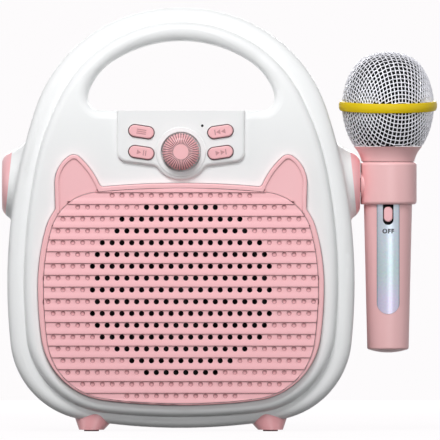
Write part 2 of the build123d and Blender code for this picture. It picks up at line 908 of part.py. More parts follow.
def make_speaker():
    inner = cone_outer_radius
    outer = cone_outer_radius + roll_width
    front = flange_front_y
    flange = rod(0, driver_z, driver_flange_radius, flange_front_y, flange_back_y)
    flange = flange - rod(0, driver_z, outer, flange_front_y - overrun, flange_back_y + overrun)
    for x, z in driver_screws():
        flange = flange - rod(x, z, driver_screw_radius, flange_front_y - overrun, flange_back_y + overrun)
    skirt = lathe_y([
        (outer + basket_sheet, flange_back_y), (outer, flange_back_y),
        (basket_neck_radius - basket_sheet, basket_back_y - basket_sheet), (0, basket_back_y - basket_sheet),
        (0, basket_back_y), (basket_neck_radius, basket_back_y)], 0, driver_z)
    for index in range(basket_windows):
        window = block(
            -basket_window_width / 2, basket_window_width / 2,
            flange_back_y + 2 * wall, basket_back_y - 2 * wall,
            basket_neck_radius / 2, driver_flange_radius)
        skirt = skirt - Location((0, 0, driver_z), (0, 360 * index / basket_windows, 0)) * window
    basket = flange + skirt
    cone = lathe_y([
        (inner, front), (inner + cone_sheet, front), (cone_neck_radius + cone_sheet, front + cone_depth),
        (cone_neck_radius, front + cone_depth)], 0, driver_z)
    middle = (inner + outer) / 2
    profile = make_face([
        ThreePointArc((inner, front, 0), (middle, front - roll_height, 0), (outer, front, 0)),
        Polyline((outer, front, 0), (outer + roll_lip, front, 0), (outer + roll_lip, front - roll_sheet, 0),
                 (outer + roll_sheet, front - roll_sheet, 0)),
        ThreePointArc(
            (outer + roll_sheet, front - roll_sheet, 0), (middle, front - roll_height - roll_sheet, 0),
            (inner - roll_sheet, front - roll_sheet, 0)),
        Line((inner - roll_sheet, front - roll_sheet, 0), (inner, front, 0)),
    ])
    roll = Location((0, 0, driver_z)) * revolve(profile, Axis.Y)
    slope = cone_depth / (inner - cone_neck_radius)
    seat = front + slope * (inner - dust_cap_radius)
    skin_radius, skin_height = dust_cap_radius - cone_sheet, dust_cap_height - cone_sheet
    dome = make_face([
        shallow_arc(dust_cap_radius, dust_cap_height, seat),
        Line((dust_cap_radius, seat, 0), (skin_radius, seat, 0)),
        shallow_arc(skin_radius, skin_height, seat),
        Line((0, seat - skin_height, 0), (0, seat - dust_cap_height, 0)),
    ])
    cap = Location((0, 0, driver_z)) * revolve(dome, Axis.Y)
    gasket = rod(0, driver_z, driver_flange_radius, driver_seat_y, flange_front_y)
    gasket = gasket - rod(
        0, driver_z, driver_flange_radius - gasket_width, driver_seat_y - overrun, flange_front_y + overrun)
    for x, z in driver_screws():
        gasket = gasket - rod(x, z, driver_screw_radius, driver_seat_y - overrun, flange_front_y + overrun)
    magnet_back_y = basket_back_y + magnet_thickness
    screws = []
    for x, z in driver_screws():
        screws.append(
            rod(x, z, driver_screw_head_radius, flange_back_y, flange_back_y + driver_screw_head)
            + rod(x, z, driver_screw_radius, flange_back_y - driver_screw_length, flange_back_y))
    return {
        "speaker_basket": basket,
        "speaker_cone": cone,
        "speaker_surround": roll,
        "speaker_dust_cap": cap,
        "speaker_gasket": gasket,
        "speaker_magnet": rod(0, driver_z, magnet_radius, basket_back_y, magnet_back_y),
        "speaker_back_plate": rod(
            0, driver_z, pole_plate_radius, magnet_back_y, magnet_back_y + pole_plate_thickness),
        "speaker_screws": Compound(screws),
    }


def knob_form(trim=0.0):
    # The knob's dome over an upright side, trimmed all over by a thickness.
    across = knob_radius - knob_face_radius
    drop = knob_side_y - knob_front_y
    sweep = (across ** 2 + drop ** 2) / (2 * across)
    centre = (knob_radius - sweep, knob_side_y)
    turn = atan2(drop, sweep - across) / 2
    edges = [
        Line((0, knob_front_y + trim, 0), (knob_face_radius, knob_front_y + trim, 0)),
        ThreePointArc(
            (knob_face_radius, knob_front_y + trim, 0),
            (centre[0] + (sweep - trim) * cos(turn), centre[1] - (sweep - trim) * sin(turn), 0),
            (knob_radius - trim, knob_side_y, 0)),
        Polyline(
            (knob_radius - trim, knob_side_y, 0), (knob_radius - trim, knob_floor_y - knob_gap, 0),
            (0, knob_floor_y - knob_gap, 0), (0, knob_front_y + trim, 0)),
    ]
    return Location((0, 0, knob_z)) * revolve(make_face(edges), Axis.Y)


def make_knob():
    # A domed knob whose rim is cut by radial grooves, on its shaft.
    core = knob_form(knob_groove_depth)
    half_in, half_out = knob_groove_inner_width / 2, knob_groove_outer_width / 2
    reach = knob_radius + overrun
    wedge = make_face(Polyline(
        (-half_in, 0, knob_face_radius), (half_in, 0, knob_face_radius), (half_out, 0, reach),
        (-half_out, 0, reach), close=True))
    groove = slab(wedge, knob_front_y - overrun, knob_floor_y)
    knob = knob_form()
    for index in range(knob_groove_count):
        turned = Location((0, 0, knob_z), (0, 360 * index / knob_groove_count, 0)) * groove
        knob = knob - (turned - core)
    end_y = control_front_y + shaft_engagement
    return knob + rod(0, knob_z, shaft_radius, knob_floor_y - knob_gap, end_y)


def make_console_parts():
    nodes = {"volume_knob": make_knob()}
    stem_y = key_front_y + key_bore_depth - button_travel - seat_gap
    keys = []
    for name, (side, z) in button_places().items():
        cap = slab(pill_face(side, z), console_y - button_proud, button_flange_y)
        cap = fillet(cap.edges().group_by(Axis.Y)[0], button_edge_round)
        flange = slab(
            pill_face(side, z, button_flange_rim), button_flange_y, button_flange_y + button_flange)
        x = side * button_x
        nodes[name] = cap + flange + rod(x, z, button_stem_radius, button_flange_y, stem_y)
        half = key_side / 2
        key = block(x - half, x + half, key_front_y, board_y, z - half, z + half)
        keys.append(key - rod(
            x, z, button_stem_radius + key_bore_gap, key_front_y - overrun, key_front_y + key_bore_depth))
    nodes["key_switches"] = Compound(keys)
    control = block(
        -control_side / 2, control_side / 2, control_front_y, board_y,
        knob_z - control_side / 2, knob_z + control_side / 2)
    bore_end_y = control_front_y + shaft_engagement + seat_gap
    bore = rod(0, knob_z, shaft_radius + shaft_fit, control_front_y - overrun, bore_end_y)
    nodes["volume_control"] = control - bore
    board = block(
        -board_half_width, board_half_width, board_y, board_y + board_thickness, board_bottom_z, board_top_z)
    screws = []
    for x, z in board_posts():
        screws.append(rod(
            x, z, board_screw_head_radius, board_y + board_thickness,
            board_y + board_thickness + board_screw_head))
    nodes["button_board"] = board
    nodes["button_board_screws"] = Compound(screws)
    chip_y = board_y - indicator_chip_height
    half = indicator_chip / 2
    chip = block(
        indicator_x - half, indicator_x + half, chip_y, board_y, indicator_z - half, indicator_z + half)
    nodes["indicator_light"] = chip + rod(indicator_x, indicator_z, indicator_radius, console_y, chip_y)
    return nodes


def make_rear_parts():
    front, back = main_board_front_y, main_board_back_y
    board = block(
        -main_board_half_width, main_board_half_width, front, back,
        bay_z - main_board_half_height, bay_z + main_board_half_height)
    screws = []
    for x, z in main_posts():
        board = board - rod(x, z, board_screw_radius + seat_gap, front - overrun, back + overrun)
        screws.append(
            rod(x, z, board_screw_head_radius, front - board_screw_head, front)
            + rod(x, z, board_screw_radius, front, front + board_screw_length))
    charge = Plane.XZ * (Location((charge_x, bay_z, 0)) * SlotOverall(charge_width, charge_height))
    mouth = Plane.XZ * (Location((charge_x, bay_z, 0)) * SlotOverall(charge_mouth_width, charge_mouth_height))
    charge_socket = slab(charge.face(), back, bay_floor_y)
    charge_socket = charge_socket - slab(mouth.face(), bay_floor_y - usb_mouth_depth, bay_floor_y + overrun)

    def socket(x, width, height):
        return block(x - width / 2, x + width / 2, back, bay_floor_y, bay_z - height / 2, bay_z + height / 2)

    usb = socket(usb_x, usb_width, usb_height) - block(
        usb_x - usb_mouth_width / 2, usb_x + usb_mouth_width / 2, bay_floor_y - usb_mouth_depth,
        bay_floor_y + overrun, bay_z - usb_mouth_height / 2, bay_z + usb_mouth_height / 2)
    audio = socket(audio_x, audio_body, audio_body)
    audio = audio - rod(
        audio_x, bay_z, audio_bore_radius, bay_floor_y - audio_bore_depth, bay_floor_y + overrun)
    mouth_width = card_width - card_height + card_mouth_height
    card = socket(card_x, card_width, card_height) - block(
        card_x - mouth_width / 2, card_x + mouth_width / 2, bay_floor_y - usb_mouth_depth,
        bay_floor_y + overrun, bay_z - card_mouth_height / 2, bay_z + card_mouth_height / 2)
    slot = block(
        power_x - power_slot_width / 2, power_x + power_slot_width / 2,
        bay_floor_y - power_slider_root - seat_gap, bay_floor_y + overrun,
        bay_z - power_slot_height / 2, bay_z + power_slot_height / 2)
    slider_x = power_x - power_travel / 2
    slider_height = power_slot_height - 2 * seat_gap
    slider = block(
        slider_x - power_slider_width / 2, slider_x + power_slider_width / 2,
        bay_floor_y - power_slider_root, bay_floor_y + power_slider_proud,
        bay_z - slider_height / 2, bay_z + slider_height / 2)
    return {
        "main_board": board,
        "main_board_screws": Compound(screws),
        "charge_socket": charge_socket,
        "usb_socket": usb,
        "audio_socket": audio,
        "card_socket": card,
        "power_switch_body": socket(power_x, power_width, power_height) - slot,
        "power_switch_slider": slider,
    }


def make_battery():
    y = cavity_back_y - holder_wall - cell_radius
    half = cell_length / 2
    cell = axle(cell_z, cell_radius, -half, half - cell_cap_length)
    cell = cell + axle(cell_z, cell_cap_radius, half - cell_cap_length, half)
    cell = Location((0, y, 0)) * cell
    end = half + holder_end_gap + holder_wall
    rise = cell_radius + holder_wall
    holder = block(-end, end, y, cavity_back_y, cell_z - rise, cell_z + rise)
    trough = axle(cell_z, cell_radius, -half - holder_end_gap, half + holder_end_gap)
    return {"battery_cell": cell, "battery_holder": holder - Location((0, y, 0)) * trough}


def make_shell_screws():
    screws = []
    for x, z in screw_points():
        head = rod(x, z, screw_head_radius, screw_seat_y, screw_seat_y + screw_head)
        screws.append(head + rod(x, z, screw_radius, screw_seat_y - screw_length, screw_seat_y))
    return Compound(screws)


def make_feet(cabinet):
    # Four tapered feet cut to the cabinet's underside, each with a round pad.
    feet = {}
    pads = []
    rows = ((-foot_y, foot_top_setback, "front"), (foot_back_y, -foot_top_setback, "rear"))
    for depth, setback, row in rows:
        for side, hand in ((-1, "left"), (1, "right")):
            base = Location((side * foot_x, depth, foot_base_z)) * Circle(foot_base_radius)
            top_x = side * (foot_x - foot_top_shift)
            top = Location((top_x, depth + setback, foot_top_z)) * Circle(foot_top_radius)
            feet["foot_" + row + "_" + hand] = loft([base.face(), top.face()]) - cabinet
            pad = Location((side * foot_x, depth, foot_base_z / 2)) * Cylinder(pad_radius, foot_base_z)
            pads.append(pad)
    feet["foot_pads"] = Compound(pads)
    return feet


def make_caps():
    caps = {}
    for side, name in ((-1, "side_cap_left"), (1, "side_cap_right")):
        cap = boss_turning(side) & outside_joint(side)
        caps[name] = cap + to_side(axle(boss_z, spigot_radius, spigot_inner_x, cap_mid_x), side)
    bore = axle(boss_z, pivot_radius + pivot_fit, spigot_inner_x - overrun, cap_face_x + overrun)
    caps["side_cap_right"] = caps["side_cap_right"] - bore
    return caps


def holder_stem(flat_x):
    # The round stem between cap and collar, flaring on a hollow curve into the collar.
    root_x = flat_x + stem_flare
    profile = make_face([
        Polyline((flat_x, 0, 0), (flat_x, 0, stem_radius)),
        ThreePointArc(
            (flat_x, 0, stem_radius),
            (flat_x + stem_flare / 2, 0, (stem_radius + stem_root_radius) / 2 - stem_flare_sag),
            (root_x, 0, stem_root_radius)),
        Polyline((root_x, 0, stem_root_radius), (mic_x, 0, stem_root_radius), (mic_x, 0, 0), (flat_x, 0, 0)),
    ])
    return Location((0, 0, boss_z)) * revolve(profile, Axis.X)


def make_holder():
    flat_x = cap_face_x + loose_gap
    collar_height = collar_top_z - collar_bottom_z
    collar = Location((mic_x, 0, collar_bottom_z)) * Cylinder(
        collar_radius, collar_height, align=(Align.CENTER, Align.CENTER, Align.MIN))
    collar = fillet(collar.edges().filter_by(GeomType.CIRCLE), collar_round)
    holder = collar + holder_stem(flat_x)
    bore = Location((mic_x, 0, collar_bottom_z - overrun)) * Cylinder(
        collar_bore_radius, collar_height + 2 * overrun, align=(Align.CENTER, Align.CENTER, Align.MIN))
    inner = block(
        flat_x - collar_radius, flat_x, -collar_radius, collar_radius,
        collar_bottom_z - overrun, collar_top_z + overrun)
    holder = holder - bore - inner
    end_x = spigot_inner_x - pivot_end_gap
    holder = holder + axle(boss_z, pivot_radius, end_x, flat_x)
    holder = holder - axle(boss_z, pivot_screw_radius, end_x - overrun, end_x + pivot_screw_length)
    washer = axle(boss_z, washer_radius, end_x - washer_thickness, end_x)
    washer = washer - axle(boss_z, pivot_screw_radius, end_x - washer_thickness - overrun, end_x + overrun)
    head_x = end_x - washer_thickness
    screw = axle(boss_z, pivot_screw_head_radius, head_x - pivot_screw_head, head_x)
    screw = screw + axle(boss_z, pivot_screw_radius, head_x, end_x + pivot_screw_length)
    return {"mic_holder": holder, "pivot_washer": washer, "pivot_screw": screw}


def grip_radius(z):
    share = (z - grip_base_z) / (grip_top_z - grip_base_z)
    return grip_base_radius + (grip_top_radius - grip_base_radius) * share


def grip_form(grow=0.0, bottom=grip_base_z):
    # The tapered body of the microphone, grown all round by a thickness.
    edges = [Polyline(
        (0, 0, bottom), (grip_radius(bottom) + grow, 0, bottom),
        (grip_radius(grip_top_z) + grow, 0, grip_top_z), (0, 0, grip_top_z), close=True)]
    return lathe_z(edges, mic_x)


def strip_slab(grow=0.0):
    # The strip's outline as seen from the front: a straight band with a round lower end.
    half = strip_width / 2 + grow
    end_z = strip_end_z + strip_width / 2
    top = strip_top_z + grow
    edges = [
        Line((mic_x - half, 0, end_z), (mic_x - half, 0, top)),
        Line((mic_x - half, 0, top), (mic_x + half, 0, top)),
        Line((mic_x + half, 0, top), (mic_x + half, 0, end_z)),
        ThreePointArc((mic_x + half, 0, end_z), (mic_x, 0, end_z - half), (mic_x - half, 0, end_z)),
    ]
    return slab(make_face(edges).face(), -2 * grip_top_radius, 0)


def slot_slab(width, low, high, front, back):
    # An upright slot with round ends.
    shape = SlotOverall(high - low, width)
    face = (Plane.XZ * (Location((mic_x, (low + high) / 2, 0), (0, 0, 90)) * shape)).face()
    return slab(face, front, back)


def under_end():
    # What lies below the shallow dome of the microphone's lower end.
    radius = (grip_base_radius ** 2 + grip_end_sag ** 2) / (2 * grip_end_sag)
    reach = 2 * grip_base_radius
    below = block(
        mic_x - reach, mic_x + reach, -reach, reach, grip_base_z - overrun,
        grip_base_z + grip_end_sag + overrun)
    return below - Location((mic_x, 0, grip_base_z + radius)) * Sphere(radius)


def make_grip():
    grip = grip_form() - under_end()
    circles = [edge for edge in grip.edges() if edge.length > 4 * grip_base_radius]
    grip = fillet(ShapeList(circles).group_by(Axis.Z)[0], grip_end_round)
    floor_z = grip_base_z + end_cap_thickness
    hollow = grip_form(-grip_wall) & block(
        mic_x - grip_top_radius, mic_x + grip_top_radius, -grip_top_radius, grip_top_radius,
        floor_z, grip_top_z + overrun)
    end_cap = Location((mic_x, 0, grip_base_z)) * Cylinder(
        end_cap_radius, end_cap_thickness, align=(Align.CENTER, Align.CENTER, Align.MIN))
    end_cap = end_cap - under_end()
    recess = strip_slab(strip_gap) & (grip_form(grip_wall) - grip_form(strip_proud - strip_thickness))
    grip = grip - hollow - end_cap - recess
    grip = grip - slot_slab(slot_width + 2 * seat_gap, slot_bottom_z, slot_top_z, -2 * grip_top_radius, 0)
    strip = strip_slab() & (grip_form(strip_proud) - grip_form(strip_proud - strip_thickness))
    strip = strip - slot_slab(slot_width, slot_bottom_z, slot_top_z, -2 * grip_top_radius, 0)
    return {"mic_grip": grip, "mic_end_cap": end_cap, "mic_strip": strip}


def make_mic_switch():
    # A body whose nose fills the slot from behind, and a slider that rides in its groove.
    nose_y = switch_depth - grip_radius(slot_bottom_z)
    board_front_y = -mic_board_offset
    middle = (slot_bottom_z + slot_top_z) / 2
    half = (slot_top_z - slot_bottom_z) / 2
    nose = slot_slab(slot_width, slot_bottom_z, slot_top_z, nose_y, board_front_y)
    body = nose + block(
        mic_x - switch_body_width / 2, mic_x + switch_body_width / 2, board_front_y - switch_body_depth,
        board_front_y, middle - half, middle + half)
    root_bottom = (slider_bottom_z + slider_top_z - slider_root_height) / 2
    groove_half = slider_root_width / 2 + seat_gap
    body = body - block(
        mic_x - groove_half, mic_x + groove_half, nose_y - overrun, nose_y + slider_root + seat_gap,
        root_bottom - seat_gap, root_bottom + slider_root_height + slider_travel + seat_gap)
    front_y = -grip_radius((slider_bottom_z + slider_top_z) / 2) - slider_proud
    slider = slot_slab(slider_width, slider_bottom_z, slider_top_z, front_y, nose_y - seat_gap / 2)
    slider = fillet(slider.edges().group_by(Axis.Y)[0], slider_round)
    slider = slider + block(
        mic_x - slider_root_width / 2, mic_x + slider_root_width / 2, nose_y - seat_gap / 2,
        nose_y + slider_root, root_bottom, root_bottom + slider_root_height)
    board = block(
        mic_x - mic_board_width / 2, mic_x + mic_board_width / 2, board_front_y,
        board_front_y + mic_board_thickness, mic_board_bottom_z, mic_board_top_z)
    return {"mic_switch_body": body, "mic_switch_slider": slider, "mic_board": board}


def make_neck():
    # A flared cup whose spigot enters the grip; the capsule's stalk stands on its ledge.
    middle_z = (grip_top_z + neck_top_z) / 2
    spigot_z = grip_top_z - neck_spigot
    spigot = grip_radius(spigot_z) - grip_wall - seat_gap
    bore = spigot - neck_wall
    ledge_z = grip_top_z + neck_ledge
    cup = neck_base_radius - neck_wall
    edges = [
        Polyline(
            (neck_base_radius, 0, grip_top_z), (spigot, 0, grip_top_z), (spigot, 0, spigot_z),
            (bore, 0, spigot_z), (bore, 0, ledge_z), (cup, 0, ledge_z),
            (neck_top_radius - neck_wall, 0, neck_top_z), (neck_top_radius, 0, neck_top_z)),
        ThreePointArc(
            (neck_top_radius, 0, neck_top_z), (neck_waist_radius, 0, middle_z),
            (neck_base_radius, 0, grip_top_z)),
    ]
    base = cup - seat_gap
    base_z = ledge_z + capsule_base
    tip_z = capsule_z + capsule_length
    stalk = Polyline(
        (0, 0, ledge_z), (base, 0, ledge_z), (base, 0, base_z), (capsule_stalk_radius, 0, base_z),
        (capsule_stalk_radius, 0, capsule_z), (capsule_radius, 0, capsule_z), (capsule_radius, 0, tip_z),
        (0, 0, tip_z), close=True)
    return {"mic_neck": lathe_z(edges, mic_x), "mic_capsule": lathe_z([stalk], mic_x)}


def head_side(inset, low_z):
    # One arc from a height below the widest ring up to it.
    rise = head_widest_z - neck_top_z
    spread = head_radius - neck_top_radius
    sweep = (rise ** 2 + spread ** 2) / (2 * spread)
    centre_x = head_radius - sweep

    def at(z):
        return (centre_x + sqrt((sweep - inset) ** 2 - (head_widest_z - z) ** 2), 0, z)

    return ThreePointArc(at(low_z), at((low_z + head_widest_z) / 2), at(head_widest_z))


def head_dome(inset):
    arcs = quarter_arcs(
        head_radius, head_top_z - head_widest_z, head_crown_radius, head_crown_turn, head_shoulder_turn)
    return arc_edges(arcs, head_widest_z, 1, 1, inset)


def make_head():
    outer, inner = head_side(0, neck_top_z), head_side(head_mesh, neck_top_z)
    lower = lathe_z(
        [outer, Line(outer @ 1, inner @ 1), inner, Line(inner @ 0, outer @ 0)], mic_x)
    cap_top = head_dome(0)
    cap_under = head_dome(head_mesh)
    upper = lathe_z(
        cap_top + cap_under
        + [Line(cap_top[0] @ 0, cap_under[0] @ 0), Line(cap_top[-1] @ 1, cap_under[-1] @ 1)], mic_x)
    ring = Cylinder(ring_radius, ring_height)
    ring = fillet(ring.edges().filter_by(GeomType.CIRCLE), ring_round)
    ring = ring - Cylinder(head_radius + ring_gap, 2 * ring_height)
    ring = Location((mic_x, 0, head_widest_z), (ring_lean, 0, 0)) * ring
    skin = head_mesh + foam_gap
    foam_z = neck_top_z + foam_gap
    out_side, in_side = head_side(skin, foam_z), head_side(skin + foam_thickness, foam_z)
    out_dome, in_dome = head_dome(skin), head_dome(skin + foam_thickness)
    foam = lathe_z(
        out_dome + in_dome + [
            out_side, in_side, Line(out_side @ 0, in_side @ 0), Line(out_dome[0] @ 0, in_dome[0] @ 0)],
        mic_x)
    return {"mic_head_lower": lower, "mic_head_upper": upper, "mic_ring": ring, "mic_foam": foam}


def make_mic_cell():
    cell = Location((mic_x, 0, mic_cell_base_z)) * Cylinder(
        mic_cell_radius, mic_cell_length, align=(Align.CENTER, Align.CENTER, Align.MIN))
    return {"mic_cell": cell}


def all_nodes():
    front, rear, cabinet = make_shells()
    nodes = {"front_shell": front, "rear_shell": rear}
    nodes["grille_surround"] = make_surround()
    nodes["speaker_grille"] = make_grille()
    nodes.update(make_speaker())
    nodes.update(make_console_parts())
    nodes.update(make_rear_parts())
    nodes.update(make_battery())
    nodes["shell_screws"] = make_shell_screws()
    nodes.update(make_feet(cabinet))
    nodes.update(make_caps())
    nodes.update(make_holder())
    nodes.update(make_grip())
    nodes.update(make_mic_switch())
    nodes.update(make_neck())
    nodes.update(make_head())
    nodes.update(make_mic_cell())
    return nodes


# The origin lies under the middle of the whole object's box
origin_x = (mic_x + ring_radius - cap_face_x) / 2
origin_y = (knob_front_y + back_y) / 2
origin_z = 0.0

if __name__ == "__main__":
    os.makedirs("parts", exist_ok=True)
    for node_name, node_shape in all_nodes().items():
        placed = node_shape.moved(Location((-origin_x, -origin_y, -origin_z)))
        export_step(placed, "parts/" + node_name + ".step")
        print(node_name, round(placed.volume))
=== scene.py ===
from math import atan2, cos, pi, radians, sin, sqrt

import bmesh
import bpy
from mathutils import Matrix, Vector
from mathutils.bvhtree import BVHTree


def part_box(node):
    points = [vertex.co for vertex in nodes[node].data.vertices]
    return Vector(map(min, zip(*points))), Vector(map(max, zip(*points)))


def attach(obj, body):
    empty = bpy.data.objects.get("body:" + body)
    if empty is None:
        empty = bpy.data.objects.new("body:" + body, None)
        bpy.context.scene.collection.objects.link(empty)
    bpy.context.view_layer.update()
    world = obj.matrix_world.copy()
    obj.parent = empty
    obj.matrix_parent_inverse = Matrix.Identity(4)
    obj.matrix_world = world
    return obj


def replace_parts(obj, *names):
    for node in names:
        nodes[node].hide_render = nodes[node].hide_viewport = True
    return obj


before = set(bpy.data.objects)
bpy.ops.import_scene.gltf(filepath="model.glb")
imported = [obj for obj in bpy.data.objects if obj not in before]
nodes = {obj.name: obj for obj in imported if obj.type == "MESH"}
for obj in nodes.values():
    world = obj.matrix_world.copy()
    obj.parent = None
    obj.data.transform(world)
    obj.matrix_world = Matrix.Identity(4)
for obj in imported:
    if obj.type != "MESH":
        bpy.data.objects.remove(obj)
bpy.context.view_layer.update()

mm = 0.001
print("frame loaded")


def middleOf(node):
    low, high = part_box(node)
    return (low + high) / 2


cabinetX = middleOf("speaker_grille").x
headCentre = middleOf("mic_ring")
gripAxis = middleOf("mic_grip")
headProbe = 80 * mm  # rays towards the head's middle start this far from it, well outside the head


def linear(red, green, blue):
    # written as seen on a screen, 0 to 255
    def one(value):
        value = value / 255
        return value / 12.92 if value <= 0.04045 else ((value + 0.055) / 1.055) ** 2.4
    return (one(red), one(green), one(blue), 1)


def grey(value):
    return (value, value, value, 1)


def plug(tree, value, socket):
    # an input takes either another node's output or a plain value
    if isinstance(value, bpy.types.NodeSocket):
        tree.links.new(value, socket)
    else:
        socket.default_value = value


def mathOf(tree, operation, *values, clamp=False):
    node = tree.nodes.new("ShaderNodeMath")
    node.operation = operation
    node.use_clamp = clamp
    for value, socket in zip(values, node.inputs):
        plug(tree, value, socket)
    return node.outputs[0]


def noiseOf(tree, place, scale, detail):
    node = tree.nodes.new("ShaderNodeTexNoise")
    for label, value in (("Vector", place), ("Scale", scale), ("Detail", detail)):
        plug(tree, value, node.inputs[label])
    return node.outputs


def mixOf(tree, blend, factor, first, second):
    node = tree.nodes.new("ShaderNodeMix")
    node.data_type = "RGBA"
    node.blend_type = blend
    plug(tree, factor, node.inputs["Factor"])
    plug(tree, first, node.inputs[6])
    plug(tree, second, node.inputs[7])
    return node.outputs[2]


def shareOf(tree, value, low, high):
    # 0 at low and 1 at high
    node = tree.nodes.new("ShaderNodeMapRange")
    for label, given in (("Value", value), ("From Min", low), ("From Max", high)):
        plug(tree, given, node.inputs[label])
    return node.outputs["Result"]


def newGroup(name, inputs, outputs):
    group = bpy.data.node_groups.new(name, "ShaderNodeTree")
    for label, kind, value in inputs:
        socket = group.interface.new_socket(label, in_out="INPUT", socket_type=kind)
        socket.default_value = value
    for label, kind in outputs:
        group.interface.new_socket(label, in_out="OUTPUT", socket_type=kind)
    start = group.nodes.new("NodeGroupInput")
    end = group.nodes.new("NodeGroupOutput")
    return group, start, end


# painted shade darkens corners narrower than cornerReach, as shade falls there; its strength
# and mirror are what a finish has unless it gives its own
skinLook = {
    "cloudScale": 22.0, "cloudDetail": 3, "grainScale": 2600.0, "grainDetail": 2,
    "smearScale": 90, "smearDetail": 4, "spread": 0.25, "bump": 0.5,
    "cornerReach": 1.3 * mm, "cornerSamples": 6, "cornerShadeTint": (0.22, 0.16, 0.17, 1),
    "cornerShade": 0.8, "mirror": 0.5,
}


def makeSkin():
    # the broad cloudiness, painted shade in corners, uneven polish and fine grain of moulded
    # plastic
    group, start, end = newGroup("mouldedSkin", [
        ("Color", "NodeSocketColor", (1, 1, 1, 1)),
        ("Shade", "NodeSocketColor", (0.8, 0.8, 0.8, 1)),
        ("Cloud Amount", "NodeSocketFloat", 0.1),
        ("Cloud Scale", "NodeSocketFloat", skinLook["cloudScale"]),
        ("Corner Shade", "NodeSocketFloat", skinLook["cornerShade"]),
        ("Grain Scale", "NodeSocketFloat", skinLook["grainScale"]),
        ("Roughness", "NodeSocketFloat", 0.3), ("Spread", "NodeSocketFloat", 0.05),
    ], [("Color", "NodeSocketColor"), ("Roughness", "NodeSocketFloat"),
        ("Height", "NodeSocketFloat")])
    given, link = start.outputs, group.links.new
    place = group.nodes.new("ShaderNodeTexCoord").outputs["Object"]
    cloud = noiseOf(group, place, given["Cloud Scale"], skinLook["cloudDetail"])["Fac"]
    amount = mathOf(group, "MULTIPLY", cloud, given["Cloud Amount"])
    clouded = mixOf(group, "MIX", amount, given["Color"], given["Shade"])
    # painted shade: ambient occlusion darkens the colour towards a dark tint in corners and
    # recesses
    corner = group.nodes.new("ShaderNodeAmbientOcclusion")
    corner.samples = skinLook["cornerSamples"]
    corner.inputs["Distance"].default_value = skinLook["cornerReach"]
    closed = mathOf(group, "SUBTRACT", 1.0, corner.outputs["AO"])
    cornerShadeMask = mathOf(group, "MULTIPLY", closed, given["Corner Shade"], clamp=True)
    link(mixOf(group, "MULTIPLY", cornerShadeMask, clouded, skinLook["cornerShadeTint"]), end.inputs["Color"])
    smear = noiseOf(group, place, skinLook["smearScale"], skinLook["smearDetail"])["Fac"]
    polish = mathOf(group, "MULTIPLY_ADD", smear, given["Spread"], given["Roughness"])
    link(polish, end.inputs["Roughness"])
    grain = noiseOf(group, place, given["Grain Scale"], skinLook["grainDetail"])["Fac"]
    link(grain, end.inputs["Height"])
    return group


mouldedSkin = makeSkin()
